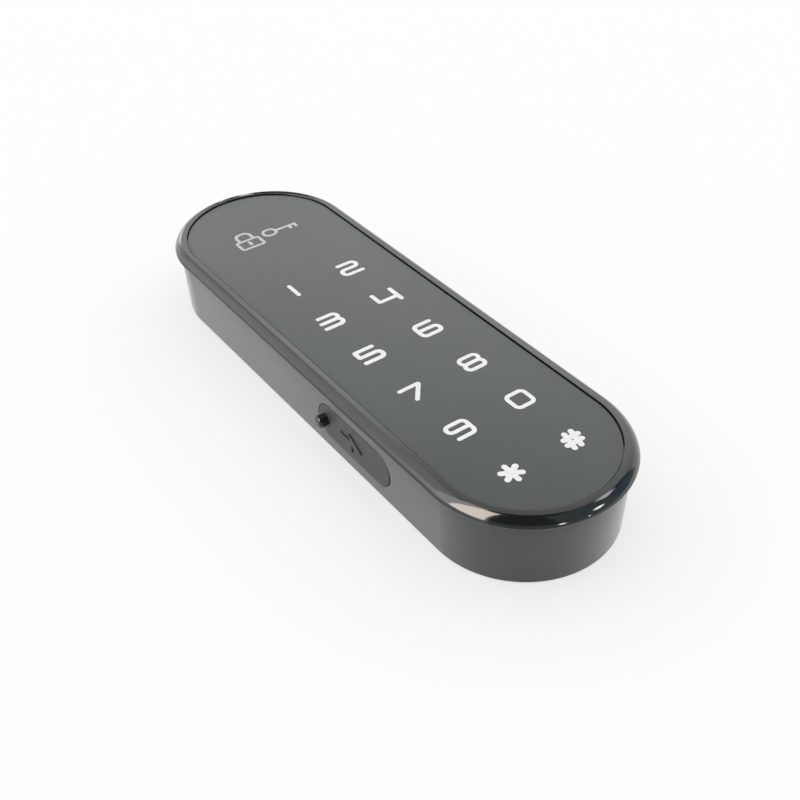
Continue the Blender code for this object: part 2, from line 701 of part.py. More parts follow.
def port_turn(x):
    """Stands a prism's outline on the port: its first axis along +Y, second along +Z, and its
    height from the given X outwards along -X."""
    turn = Matrix(((0, 0, -1, x), (1, 0, 0, PORT_Y), (0, 1, 0, PORT_Z), (0, 0, 0, 1)))
    return turn


def make_body_shell():
    bead_low = RIM_UNDERSIDE - SNAP_BELOW_RIM - SNAP_HEIGHT - CLEARANCE
    bead_high = RIM_UNDERSIDE - SNAP_BELOW_RIM + CLEARANCE
    profile = [
        (SHELL_INNER_RADIUS, SHELL_TOP),
        (SHELL_TOP_RADIUS, SHELL_TOP),
        (SHELL_FOOT_RADIUS, SHELL_FOOT_EDGE),
        (SHELL_FOOT_RADIUS - SHELL_FOOT_EDGE, 0),
        (SHELL_INNER_RADIUS, 0),
        (SHELL_INNER_RADIUS, bead_low),
        (SHELL_INNER_RADIUS + SNAP_BEAD, bead_low + SNAP_BEAD),
        (SHELL_INNER_RADIUS + SNAP_BEAD, bead_high - SNAP_BEAD),
        (SHELL_INNER_RADIUS, bead_high),
    ]
    shell = part("body_shell", swept(profile, closed=True), "matte_black")
    boss_low = PLATE_THICKNESS + CLEARANCE
    bosses = bmesh.new()
    for x, y in shell_boss_places():
        add_cylinder(bosses, x, y, boss_low, BOSS_TOP, BOSS_RADIUS, BOSS_SIDES)
    for side in (1, -1):
        add_cylinder(bosses, 0, side * INSERT_Y, 0, BOSS_TOP, INSERT_BOSS_RADIUS, BOSS_SIDES)
    join(shell, bosses)
    ribs = bmesh.new()
    for side in (1, -1):
        ends = sorted((
            side * (INSERT_Y + INSERT_RADIUS + CLEARANCE + INSERT_BOSS_WALL / 2),
            side * (HALF_STRAIGHT + SHELL_INNER_RADIUS + SINK),
        ))
        add_box(ribs, (-INSERT_RIB / 2, ends[0], boss_low), (INSERT_RIB / 2, ends[1], BOSS_TOP - SINK))
    pad_half = PORT_LENGTH / 2 + PORT_PAD_MARGIN
    add_box(
        ribs,
        (-SHELL_INNER_RADIUS - SINK, PORT_Y - pad_half, boss_low + FILM_CLEARANCE),
        (PORT_PAD_X, MIDDLE_SCREW_Y, PORT_Z + PORT_HEIGHT / 2 + PORT_PAD_MARGIN / 2),
    )
    join(shell, ribs)
    holes = bmesh.new()
    for x, y in shell_boss_places():
        pilot_top = BACK_HEAD_HEIGHT + BACK_SCREW_LENGTH + CUT_OVERRUN
        add_cylinder(
            holes, x, y, boss_low - CUT_OVERRUN, pilot_top,
            BACK_SHANK_RADIUS + CLEARANCE, SCREW_SIDES,
        )
    for side in (1, -1):
        add_cylinder(
            holes, 0, side * INSERT_Y, -CUT_OVERRUN, INSERT_RECESS + INSERT_LENGTH + CUT_OVERRUN,
            INSERT_RADIUS + CLEARANCE, BOSS_SIDES,
        )
    cut(shell, holes)
    pocket = bmesh.new()
    add_prism(
        pocket, slot_outline(PORT_LENGTH, PORT_HEIGHT), 0, PORT_FLOOR_DEPTH + CUT_OVERRUN,
        port_turn(PORT_FLOOR_X),
    )
    cut(shell, pocket)
    opening = bmesh.new()
    add_prism(
        opening, slot_outline(PLUG_LENGTH + 2 * PLUG_GAP, PLUG_HEIGHT + 2 * PLUG_GAP),
        -PORT_FLOOR_WALL - CUT_OVERRUN, CUT_OVERRUN, port_turn(PORT_FLOOR_X),
    )
    cut(shell, opening)


def key_places():
    places = []
    for row in range(KEY_ROWS):
        for side in (-1, 1):
            places.append((side * KEY_PITCH / 2, LOWEST_KEY_Y + row * KEY_PITCH))
    return places


def board_screw_places():
    rows = (IDLER_Y + BOARD_SCREW_ABOVE_IDLER, HALF_STRAIGHT - BOARD_SCREW_FROM_END)
    return [(side * BOARD_SCREW_X, y) for y in rows for side in (-1, 1)]


def make_bezel():
    """One moulding: the glossy rim, its skirt inside the shell, and the deck under the panel."""
    slope_centre = (
        RIM_RADIUS - RIM_SLOPE * math.cos(math.radians(RIM_SLOPE_END)),
        TOTAL_HEIGHT - RIM_SLOPE * math.sin(math.radians(RIM_SLOPE_START)),
    )
    bead = RIM_UNDERSIDE - SNAP_BELOW_RIM
    profile = [(PANEL_WELL_RADIUS, DECK_TOP), (PANEL_WELL_RADIUS, TOTAL_HEIGHT)]
    profile += arc_profile(slope_centre, RIM_SLOPE, RIM_SLOPE_START, RIM_SLOPE_END, RIM_SLOPE_STEPS)
    profile += [
        (RIM_RADIUS, RIM_UNDERSIDE + RIM_LOWER_EDGE),
        (RIM_RADIUS - RIM_LOWER_EDGE, RIM_UNDERSIDE),
        (SKIRT_RADIUS, RIM_UNDERSIDE),
        (SKIRT_RADIUS, bead),
        (SKIRT_RADIUS + SNAP_BEAD, bead - SNAP_HEIGHT / 2),
        (SKIRT_RADIUS, bead - SNAP_HEIGHT),
        (SKIRT_RADIUS, SKIRT_BOTTOM),
        (SKIRT_INNER_RADIUS, SKIRT_BOTTOM),
        (SKIRT_INNER_RADIUS, DECK_BOTTOM),
    ]
    bezel = part("bezel_frame", swept(profile, closed=False), "gloss_black")
    pillars = bmesh.new()
    for x, y in board_screw_places():
        add_cylinder(
            pillars, x, y, BOARD_TOP + CLEARANCE, DECK_BOTTOM + SINK,
            BOARD_SHANK_RADIUS + 2 * CLEARANCE + SINK / 2, SCREW_SIDES,
        )
    join(bezel, pillars)
    windows = bmesh.new()
    for x, y in key_places():
        add_box(
            windows,
            (x - WINDOW_WIDTH / 2, y - WINDOW_LENGTH / 2, DECK_BOTTOM - CUT_OVERRUN),
            (x + WINDOW_WIDTH / 2, y + WINDOW_LENGTH / 2, DECK_TOP + CUT_OVERRUN),
        )
    for x, y in board_screw_places():
        add_cylinder(
            windows, x, y, BOARD_BOTTOM, BOARD_BOTTOM + BOARD_SCREW_LENGTH + CLEARANCE,
            BOARD_SHANK_RADIUS + CLEARANCE, SCREW_SIDES,
        )
    cut(bezel, windows)


def make_panel():
    profile = [
        (PANEL_RADIUS, PANEL_BOTTOM),
        (PANEL_RADIUS, PANEL_TOP - PANEL_EDGE),
        (PANEL_RADIUS - PANEL_EDGE, PANEL_TOP),
    ]
    part("touch_panel", swept(profile, closed=False), "panel_black")
    outer = PANEL_RADIUS - ADHESIVE_INSET
    ring = [
        (outer - ADHESIVE_WIDTH, ADHESIVE_BOTTOM),
        (outer, ADHESIVE_BOTTOM),
        (outer, ADHESIVE_BOTTOM + ADHESIVE_THICKNESS),
        (outer - ADHESIVE_WIDTH, ADHESIVE_BOTTOM + ADHESIVE_THICKNESS),
    ]
    part("panel_adhesive", swept(ring, closed=True), "foam_grey")


def make_light_guide():
    profile = [(GUIDE_RADIUS, GUIDE_BOTTOM), (GUIDE_RADIUS, GUIDE_TOP)]
    guide = part("light_guide", swept(profile, closed=False), "diffuser_white")
    pads = bmesh.new()
    pockets = bmesh.new()
    half_x = WINDOW_WIDTH / 2 - CLEARANCE
    half_y = WINDOW_LENGTH / 2 - CLEARANCE
    for x, y in key_places():
        add_box(
            pads, (x - half_x, y - half_y, GUIDE_TOP - GUIDE_THICKNESS / 2),
            (x + half_x, y + half_y, DECK_TOP - FILM_CLEARANCE),
        )
        add_box(
            pockets, (x - GUIDE_POCKET / 2, y - GUIDE_POCKET / 2, GUIDE_BOTTOM - CUT_OVERRUN),
            (x + GUIDE_POCKET / 2, y + GUIDE_POCKET / 2, GUIDE_BOTTOM + GUIDE_POCKET_DEPTH),
        )
    join(guide, pads)
    cut(guide, pockets)


# Main board and what is soldered to it


def make_main_board():
    profile = [(BOARD_RADIUS, BOARD_BOTTOM), (BOARD_RADIUS, BOARD_TOP)]
    board = part("main_board", swept(profile, closed=False), "board_green")
    lights = bmesh.new()
    for x, y in key_places():
        add_box(
            lights, (x - LED_SIZE / 2, y - LED_SIZE / 2, BOARD_TOP - SINK),
            (x + LED_SIZE / 2, y + LED_SIZE / 2, BOARD_TOP + LED_HEIGHT),
        )
    join(board, lights)
    holes = bmesh.new()
    for x, y in board_screw_places():
        add_cylinder(
            holes, x, y, BOARD_BOTTOM - CUT_OVERRUN, BOARD_TOP + CUT_OVERRUN,
            BOARD_SHANK_RADIUS + CLEARANCE, SCREW_SIDES,
        )
    cut(board, holes)
    for number, (x, y) in enumerate(board_screw_places(), 1):
        head = BOARD_BOTTOM - FILM_CLEARANCE
        make_screw(
            f"board_screw_{number}", x, y, head, BOARD_HEAD_RADIUS, BOARD_HEAD_HEIGHT,
            BOARD_SHANK_RADIUS, BOARD_SCREW_LENGTH,
        )


def make_screw(name, x, y, seat, head_radius, head_height, shank_radius, length, upward=True):
    """A pan-head screw whose head lies under its seat and whose shank runs upward, or the reverse."""
    way = 1 if upward else -1
    profile = [
        (0, seat - way * head_height),
        (head_radius * 0.7, seat - way * head_height),
        (head_radius, seat - way * head_height / 2),
        (head_radius, seat),
        (shank_radius, seat),
        (shank_radius, seat + way * (length - shank_radius)),
        (0, seat + way * length),
    ]
    part(name, turned_shape(profile, x, y, SCREW_SIDES), "steel")


def under_board(name, x, y, size_x, size_y, thickness, finish):
    bm = bmesh.new()
    add_box(
        bm, (x - size_x / 2, y - size_y / 2, CHIP_TOP - thickness),
        (x + size_x / 2, y + size_y / 2, CHIP_TOP),
    )
    return part(name, bm, finish, smooth=False)


def make_board_pieces():
    under_board(
        "controller_chip", 0, IDLER_Y + CONTROLLER_ABOVE_IDLER,
        CONTROLLER_SIZE, CONTROLLER_SIZE, CHIP_THICKNESS, "chip_black",
    )
    controller_end = IDLER_Y + CONTROLLER_ABOVE_IDLER + CONTROLLER_SIZE / 2
    under_board(
        "touch_chip", 0, controller_end + CHIP_SPACING + TOUCH_CHIP_LENGTH / 2,
        TOUCH_CHIP_WIDTH, TOUCH_CHIP_LENGTH, CHIP_THICKNESS, "chip_black",
    )
    under_board("angle_sensor", 0, HUB_Y, SENSOR_SIZE, SENSOR_SIZE, SENSOR_THICKNESS, "chip_black")
    low = CHIP_TOP - BUZZER_HEIGHT
    profile = [
        (BUZZER_PORT_RADIUS, low + BUZZER_HEIGHT / 2),
        (BUZZER_PORT_RADIUS, low),
        (BUZZER_RADIUS, low),
        (BUZZER_RADIUS, CHIP_TOP),
    ]
    profile = [(0, low + BUZZER_HEIGHT / 2)] + profile + [(0, CHIP_TOP)]
    buzzer = turned_shape(profile, -BUZZER_X, BAY_Y - BUZZER_BELOW_BAY, BOSS_SIDES)
    part("buzzer", buzzer, "chip_black")


# Back plate, its door, seal and screws


def bay_ends():
    return BAY_Y + BAY_END_WALL, BAY_END_Y - BAY_END_WALL


def door_outline(shrink):
    """The door's outline, or its recess when shrink is zero."""
    low, high = bay_ends()
    return rounded_outline(
        BAY_HALF_INSIDE + DOOR_LEDGE - shrink,
        low - DOOR_END_LEDGE + shrink, high + DOOR_END_LEDGE - shrink, DOOR_CORNER,
    )


def make_back_plate():
    """The rear moulding carries the battery bay, the motor's rib and the gear train's posts."""
    groove_high = SEAL_GROOVE_LOW + SEAL_THICKNESS + 2 * FILM_CLEARANCE
    groove_radius = PLATE_RADIUS - SEAL_GROOVE_DEPTH
    profile = [
        (PLATE_RADIUS - PLATE_BEVEL, 0),
        (PLATE_RADIUS, PLATE_BEVEL),
        (PLATE_RADIUS, SEAL_GROOVE_LOW),
        (groove_radius, SEAL_GROOVE_LOW),
        (groove_radius, groove_high),
        (PLATE_RADIUS, groove_high),
        (PLATE_RADIUS, PLATE_THICKNESS),
    ]
    plate = part("back_plate", swept(profile, closed=False), "matte_black")
    root = PLATE_THICKNESS - SINK
    bay_top = CELL_Z + CELL_RADIUS - BAY_TOP_STEP
    adds = bmesh.new()
    add_box(adds, (-BAY_HALF_WIDTH, BAY_Y, root), (BAY_HALF_WIDTH, BAY_END_Y, bay_top))
    for x, y in POST_PLACES:
        add_cylinder(adds, x, y, root, GEAR_PLATE_BOTTOM - CLEARANCE, POST_RADIUS, BOSS_SIDES)
    add_cylinder(adds, IDLER_X, IDLER_Y, root, HUB_GEAR_BOTTOM - CLEARANCE, IDLER_BOSS_RADIUS, BOSS_SIDES)
    add_cylinder(
        adds, *BUTTON_PLACE, root, PLATE_THICKNESS + BUTTON_GUIDE_HEIGHT,
        BUTTON_RADIUS + CLEARANCE + BUTTON_GUIDE_WALL, BOSS_SIDES,
    )
    add_cylinder(
        adds, 0, DOOR_SCREW_Y, root, PLATE_THICKNESS + SCREW_LENGTH - DOOR_THICKNESS,
        SCREW_SHANK_RADIUS + CLEARANCE + BAY_END_WALL, BOSS_SIDES,
    )
    rib_x = MOTOR_X - MOTOR_WIDTH / 2 - CLEARANCE
    add_box(
        adds, (rib_x - MOTOR_RIB_THICKNESS, MOTOR_Y + MOTOR_RIB_INSET, root),
        (rib_x, MOTOR_END_Y - MOTOR_RIB_INSET, PLATE_THICKNESS + MOTOR_RIB_HEIGHT),
    )
    for side in (-1, 1):
        x, y = port_post_place(side)
        add_cylinder(adds, x, y, root, port_board_bottom() - CLEARANCE, PORT_POST_RADIUS, SCREW_SIDES)
    join(plate, adds)

    low, high = bay_ends()
    cuts = bmesh.new()
    add_box(cuts, (-BAY_HALF_INSIDE, low, -CUT_OVERRUN), (BAY_HALF_INSIDE, high, bay_top + CUT_OVERRUN))
    hub_hole = HUB_RADIUS + CLEARANCE + BUSH_WALL + CLEARANCE
    add_cylinder(cuts, 0, HUB_Y, -CUT_OVERRUN, PLATE_THICKNESS + CUT_OVERRUN, hub_hole, HUB_SIDES)
    for side in (1, -1):
        add_cylinder(
            cuts, 0, side * INSERT_Y, -CUT_OVERRUN, PLATE_THICKNESS + CUT_OVERRUN,
            INSERT_BOSS_RADIUS + CLEARANCE, BOSS_SIDES,
        )
    for x, y in POST_PLACES:
        add_cylinder(
            cuts, x, y, GEAR_PLATE_BOTTOM - SCREW_LENGTH, GEAR_PLATE_BOTTOM,
            SCREW_SHANK_RADIUS + CLEARANCE, SCREW_SIDES,
        )
    add_cylinder(
        cuts, IDLER_X, IDLER_Y, PLATE_THICKNESS - IDLER_PIN_SUNK - CLEARANCE, HUB_GEAR_BOTTOM,
        IDLER_PIN_RADIUS + CLEARANCE, SCREW_SIDES,
    )
    add_cylinder(
        cuts, *BUTTON_PLACE, -CUT_OVERRUN, PLATE_THICKNESS + BUTTON_GUIDE_HEIGHT + CUT_OVERRUN,
        BUTTON_RADIUS + CLEARANCE, BOSS_SIDES,
    )
    foot = bracket_foot()
    add_cylinder(
        cuts, foot[0], foot[1], PLATE_THICKNESS - BACK_HEAD_HEIGHT - FILM_CLEARANCE,
        PLATE_THICKNESS + CUT_OVERRUN, SCREW_SHANK_RADIUS + CLEARANCE, SCREW_SIDES,
    )
    cut(plate, cuts)

    recesses = bmesh.new()
    add_prism(recesses, door_outline(0), -CUT_OVERRUN, DOOR_LEDGE_Z)
    cut(plate, recesses)
    head_recesses = bmesh.new()
    for x, y in shell_boss_places():
        add_cylinder(
            head_recesses, x, y, -CUT_OVERRUN, BACK_HEAD_HEIGHT + 2 * FILM_CLEARANCE,
            BACK_HEAD_RADIUS + CLEARANCE, BOSS_SIDES,
        )
    cut(plate, head_recesses)
    tongue_top = DOOR_THICKNESS + 2 * FILM_CLEARANCE
    tab = bmesh.new()
    add_box(
        tab, (-DOOR_TAB_WIDTH / 2 - CLEARANCE, BAY_Y - DOOR_TAB_LENGTH - CLEARANCE, -CUT_OVERRUN),
        (DOOR_TAB_WIDTH / 2 + CLEARANCE, BAY_Y, tongue_top),
    )
    for side in (-1, 1):
        middle = side * DOOR_TONGUE_SPREAD
        add_box(
            tab,
            (
                middle - DOOR_TONGUE_WIDTH / 2 - CLEARANCE, high + DOOR_END_LEDGE / 2,
                DOOR_THICKNESS - DOOR_TONGUE_THICKNESS - CLEARANCE,
            ),
            (
                middle + DOOR_TONGUE_WIDTH / 2 + CLEARANCE,
                high + DOOR_END_LEDGE + DOOR_TONGUE_LENGTH, tongue_top,
            ),
        )
    cut(plate, tab)
    pilots = bmesh.new()
    for x, y in shell_boss_places():
        add_cylinder(
            pilots, x, y, -CUT_OVERRUN, PLATE_THICKNESS + CUT_OVERRUN,
            BACK_SHANK_RADIUS + CLEARANCE, SCREW_SIDES,
        )
    add_cylinder(
        pilots, 0, DOOR_SCREW_Y, 0, SCREW_LENGTH + CLEARANCE,
        SCREW_SHANK_RADIUS + CLEARANCE, SCREW_SIDES,
    )
    cut(plate, pilots)

    ribs = bmesh.new()
    rib_top = CELL_Z - CONTACT_HEIGHT / 2 - CLEARANCE
    for index in range(CELL_COUNT - 1):
        x = (index - (CELL_COUNT - 2) / 2) * CELL_PITCH
        add_box(
            ribs, (x - BAY_RIB / 2, low - SINK, DOOR_LEDGE_Z + FILM_CLEARANCE),
            (x + BAY_RIB / 2, high + SINK, rib_top),
        )
    join(plate, ribs)


def make_back_pieces():
    ring_low = SEAL_GROOVE_LOW + FILM_CLEARANCE
    inner = PLATE_RADIUS - SEAL_GROOVE_DEPTH + FILM_CLEARANCE
    outer = SHELL_INNER_RADIUS - FILM_CLEARANCE
    seal = [
        (inner, ring_low),
        (outer, ring_low),
        (outer, ring_low + SEAL_THICKNESS),
        (inner, ring_low + SEAL_THICKNESS),
    ]
    part("back_seal", swept(seal, closed=True), "seal_red")
    for number, (x, y) in enumerate(shell_boss_places(), 1):
        make_screw(
            f"back_screw_{number}", x, y, BACK_HEAD_HEIGHT + FILM_CLEARANCE, BACK_HEAD_RADIUS,
            BACK_HEAD_HEIGHT, BACK_SHANK_RADIUS, BACK_SCREW_LENGTH,
        )
    for number, side in enumerate((1, -1), 1):
        low = INSERT_RECESS
        profile = [
            (INSERT_BORE, low),
            (INSERT_RADIUS, low),
            (INSERT_RADIUS, low + INSERT_LENGTH),
            (INSERT_BORE, low + INSERT_LENGTH),
            (INSERT_BORE, low),
        ]
        insert = turned_shape(profile, 0, side * INSERT_Y, BOSS_SIDES)
        part(f"mounting_insert_{number}", insert, "brass")


def make_battery_door():
    low, high = bay_ends()
    bm = bmesh.new()
    add_prism(bm, door_outline(CLEARANCE), 0, DOOR_THICKNESS)
    door = part("battery_door", bm, "matte_black", smooth=False)
    extras = bmesh.new()
    add_box(
        extras, (-DOOR_TAB_WIDTH / 2, BAY_Y - DOOR_TAB_LENGTH, 0),
        (DOOR_TAB_WIDTH / 2, BAY_Y + BAY_END_WALL, DOOR_THICKNESS),
    )
    for side in (-1, 1):
        middle = side * DOOR_TONGUE_SPREAD
        add_box(
            extras,
            (middle - DOOR_TONGUE_WIDTH / 2, high, DOOR_THICKNESS - DOOR_TONGUE_THICKNESS),
            (
                middle + DOOR_TONGUE_WIDTH / 2,
                high + DOOR_END_LEDGE - CLEARANCE + DOOR_TONGUE_LENGTH / 2, DOOR_THICKNESS,
            ),
        )
    join(door, extras)
    grooves = bmesh.new()
    for index in range(DOOR_GRIP_COUNT):
        y = low + DOOR_GRIP_INSET + index * DOOR_GRIP_PITCH
        add_box(
            grooves, (-DOOR_GRIP_LENGTH / 2, y, -CUT_OVERRUN),
            (DOOR_GRIP_LENGTH / 2, y + DOOR_GRIP_WIDTH, DOOR_GRIP_DEPTH),
        )
    add_cylinder(
        grooves, 0, DOOR_SCREW_Y, -CUT_OVERRUN, DOOR_THICKNESS + CUT_OVERRUN,
        SCREW_SHANK_RADIUS + CLEARANCE, SCREW_SIDES,
    )
    cut(door, grooves)
    head_recess = bmesh.new()
    add_cylinder(
        head_recess, 0, DOOR_SCREW_Y, -CUT_OVERRUN, DOOR_THICKNESS / 2,
        SCREW_HEAD_RADIUS + CLEARANCE, BOSS_SIDES,
    )
    cut(door, head_recess)
    make_screw(
        "door_screw", 0, DOOR_SCREW_Y, DOOR_THICKNESS / 2 - FILM_CLEARANCE,
        SCREW_HEAD_RADIUS, DOOR_THICKNESS / 2 - 2 * FILM_CLEARANCE, SCREW_SHANK_RADIUS,
        SCREW_LENGTH - SCREW_SHANK_RADIUS,
    )


# Batteries and their contacts


def cell_x(index):
    return (index - (CELL_COUNT - 1) / 2) * CELL_PITCH


def nub_way(index):
    """Which way each cell's nub points along Y, alternating so that the cells are in series."""
    return 1 if index % 2 == 0 else -1


def make_cells():
    low, high = bay_ends()
    for index in range(CELL_COUNT):
        way = nub_way(index)
        end = high if way > 0 else low
        tip = end - way * (CONTACT_STACK + CLEARANCE)
        bm = bmesh.new()
        shoulder = CELL_LENGTH - CELL_NUB_LENGTH
        profile = [
            (0, 0),
            (CELL_RADIUS - CELL_EDGE, 0),
            (CELL_RADIUS, CELL_EDGE),
            (CELL_RADIUS, shoulder - CELL_EDGE),
            (CELL_RADIUS - CELL_EDGE, shoulder),
            (CELL_NUB_RADIUS, shoulder),
            (CELL_NUB_RADIUS, CELL_LENGTH),
            (0, CELL_LENGTH),
        ]
        bm = turned_shape(profile, 0, 0, CELL_SIDES)
        lay = Matrix.Rotation(-way * math.pi / 2, 4, "X")
        base = Matrix.Translation((cell_x(index), tip - way * CELL_LENGTH, CELL_Z))
        bmesh.ops.transform(bm, matrix=base @ lay, verts=bm.verts)
        part(f"battery_cell_{index + 1}", bm, "cell_green")
        make_spring(f"battery_spring_{index + 1}", cell_x(index), low if way > 0 else high, way)


def make_spring(name, x, end, way):
    """A conical coil between the contact plate at the bay's end and the cell's flat base."""
    start = CONTACT_STACK + FILM_CLEARANCE + SPRING_WIRE_RADIUS
    run = SPRING_LENGTH - 2 * SPRING_WIRE_RADIUS
    count = SPRING_TURNS * SPRING_TURN_POINTS
    curve = bpy.data.curves.new(name, "CURVE")
    curve.dimensions = "3D"
    curve.bevel_depth = SPRING_WIRE_RADIUS
    curve.bevel_resolution = 1
    curve.use_fill_caps = True
    spline = curve.splines.new("POLY")
    spline.points.add(count)
    for index, point in enumerate(spline.points):
        share = index / count
        angle = 2 * math.pi * SPRING_TURNS * share
        radius = SPRING_BASE_RADIUS + (SPRING_TIP_RADIUS - SPRING_BASE_RADIUS) * share
        point.co = (
            x + radius * math.cos(angle), end + way * (start + run * share),
            CELL_Z + radius * math.sin(angle), 1,
        )
    spring = bpy.data.objects.new(name, curve)
    parts.objects.link(spring)
    curve.materials.append(material(name, "nickel"))


def make_contacts():
    """Four plates: a tail at each end of the string, and two links between neighbouring cells."""
    low, high = bay_ends()
    half = CONTACT_WIDTH / 2
    spans = (
        (high, -1, cell_x(0) - half, cell_x(0) + half, cell_x(0)),
        (low, 1, cell_x(0) - half, cell_x(1) + half, None),
        (high, -1, cell_x(1) - half, cell_x(2) + half, None),
        (low, 1, cell_x(2) - half, cell_x(2) + half, cell_x(2)),
    )
    for number, (end, way, left, right, tail) in enumerate(spans, 1):
        faces = sorted((end + way * FILM_CLEARANCE, end + way * CONTACT_STACK))
        bm = bmesh.new()
        add_box(
            bm, (left, faces[0], CELL_Z - CONTACT_HEIGHT / 2),
            (right, faces[1], CELL_Z + CONTACT_HEIGHT / 2),
        )
        plate = part(f"contact_plate_{number}", bm, "nickel", smooth=False)
        if tail is not None:
            extra = bmesh.new()
            add_box(
                extra, (tail - CONTACT_TAIL_WIDTH / 2, faces[0], CELL_Z + CONTACT_HEIGHT / 2 - SINK),
                (tail + CONTACT_TAIL_WIDTH / 2, faces[1], CHIP_TOP),
            )
            join(plate, extra)


# Motor, worm and gear train


def bracket_foot():
    """Where the bracket's foot is screwed to the back plate."""
    x = MOTOR_X + MOTOR_WIDTH / 2 - BRACKET_FOOT_WIDTH / 2
    return x, BRACKET_Y - BRACKET_FOOT_LENGTH / 2


def make_motor():
    low = MOTOR_Z - MOTOR_HEIGHT / 2
    high = MOTOR_Z + MOTOR_HEIGHT / 2
    bm = bmesh.new()
    can = slot_outline(MOTOR_WIDTH, MOTOR_WIDTH, 10)
    lay = Matrix(((1, 0, 0, MOTOR_X), (0, 0, 1, 0), (0, -1, 0, MOTOR_Z), (0, 0, 0, 1)))
    add_prism(bm, can, MOTOR_Y, MOTOR_END_Y - MOTOR_CAP_LENGTH, lay)
    motor = part("motor", bm, "steel")
    flats = bmesh.new()
    for edges in ((low - MOTOR_WIDTH, low), (high, high + MOTOR_WIDTH)):
        add_box(
            flats, (MOTOR_X - MOTOR_WIDTH, MOTOR_Y - CUT_OVERRUN, edges[0]),
            (MOTOR_X + MOTOR_WIDTH, MOTOR_END_Y + CUT_OVERRUN, edges[1]),
        )
    cut(motor, flats)
    ends = bmesh.new()
    add_box(
        ends,
        (
            MOTOR_X - MOTOR_WIDTH / 2 + 3 * MOTOR_CAP_INSET,
            MOTOR_END_Y - MOTOR_CAP_LENGTH - SINK, low + MOTOR_CAP_INSET,
        ),
        (MOTOR_X + MOTOR_WIDTH / 2 - 3 * MOTOR_CAP_INSET, MOTOR_END_Y, high - MOTOR_CAP_INSET),
    )
    add_cylinder_along(
        ends, (0, -1, 0), (MOTOR_X, MOTOR_Y + SINK, MOTOR_Z), MOTOR_NOSE_LENGTH + SINK,
        MOTOR_NOSE_RADIUS, BOSS_SIDES,
    )
    join(motor, ends)
    bore = bmesh.new()
    add_cylinder_along(
        bore, (0, 1, 0), (MOTOR_X, MOTOR_Y - MOTOR_NOSE_LENGTH - CUT_OVERRUN, MOTOR_Z),
        MOTOR_NOSE_LENGTH + CUT_OVERRUN + 4 * SINK, SHAFT_RADIUS + CLEARANCE, SCREW_SIDES,
    )
    cut(motor, bore)

    bracket = bmesh.new()
    add_box(
        bracket, (MOTOR_X - MOTOR_WIDTH / 2, BRACKET_Y, PLATE_THICKNESS + CLEARANCE),
        (MOTOR_X + MOTOR_WIDTH / 2, BRACKET_Y + BRACKET_THICKNESS, high),
    )
    bracket_part = part("motor_bracket", bracket, "steel", smooth=False)
    foot_x, foot_y = bracket_foot()
    foot_low = PLATE_THICKNESS + CLEARANCE
    foot = bmesh.new()
    add_box(
        foot, (foot_x - BRACKET_FOOT_WIDTH / 2, BRACKET_Y - BRACKET_FOOT_LENGTH, foot_low),
        (foot_x + BRACKET_FOOT_WIDTH / 2, BRACKET_Y + BRACKET_THICKNESS / 2, foot_low + BRACKET_THICKNESS),
    )
    join(bracket_part, foot)
    holes = bmesh.new()
    add_cylinder_along(
        holes, (0, 1, 0), (MOTOR_X, BRACKET_Y - CUT_OVERRUN, MOTOR_Z),
        BRACKET_THICKNESS + 2 * CUT_OVERRUN, MOTOR_NOSE_RADIUS + CLEARANCE, BOSS_SIDES,
    )
    add_cylinder(
        holes, foot_x, foot_y, foot_low - CUT_OVERRUN, foot_low + BRACKET_THICKNESS + CUT_OVERRUN,
        SCREW_SHANK_RADIUS + CLEARANCE, SCREW_SIDES,
    )
    cut(bracket_part, holes)
    make_screw(
        "bracket_screw", foot_x, foot_y, foot_low + BRACKET_THICKNESS + FILM_CLEARANCE,
        SCREW_HEAD_RADIUS, SCREW_HEAD_HEIGHT, SCREW_SHANK_RADIUS,
        BRACKET_THICKNESS + FILM_CLEARANCE + CLEARANCE + BACK_HEAD_HEIGHT, upward=False,
    )


def make_motor_leads():
    """Two short leads from the motor's rear end up to the underside of the board."""
    for number, side in enumerate((-1, 1), 1):
        x = MOTOR_X - LEAD_INSET + side * LEAD_SPREAD / 2
        start = Vector((x, MOTOR_END_Y + CLEARANCE, MOTOR_Z))
        end = Vector((x, MOTOR_END_Y + LEAD_REACH, CHIP_TOP))
        middle = Vector((x, end.y, start.z))
        curve = bpy.data.curves.new(f"motor_lead_{number}", "CURVE")
        curve.dimensions = "3D"
        curve.bevel_depth = LEAD_RADIUS
        curve.bevel_resolution = 2
        curve.use_fill_caps = True
        spline = curve.splines.new("POLY")
        steps = 8
        spline.points.add(steps)
        for index, point in enumerate(spline.points):
            share = index / steps
            place = (1 - share) ** 2 * start + 2 * share * (1 - share) * middle + share**2 * end
            point.co = (*place, 1)
        lead = bpy.data.objects.new(f"motor_lead_{number}", curve)
        parts.objects.link(lead)
        curve.materials.append(material(lead.name, ("lead_black", "lead_red")[number - 1]))


def make_motor_worm():
    """The worm on the motor's shaft, one turning piece."""
    worm = part("motor_worm", worm_shape(), "brass")
    shaft = bmesh.new()
    worm_start = IDLER_Y - WORM_LENGTH / 2
    add_cylinder_along(
        shaft, (0, 1, 0), (MOTOR_X, worm_start - SHAFT_TIP, MOTOR_Z),
        MOTOR_Y + 3 * SINK - worm_start + SHAFT_TIP, SHAFT_RADIUS, SCREW_SIDES,
    )
    join(worm, shaft)
    set_origin(worm, (MOTOR_X, IDLER_Y, MOTOR_Z))


def gear_line():
    """The direction from the idler to the hub, along which their teeth mesh."""
    return math.atan2(HUB_Y - IDLER_Y, -IDLER_X)


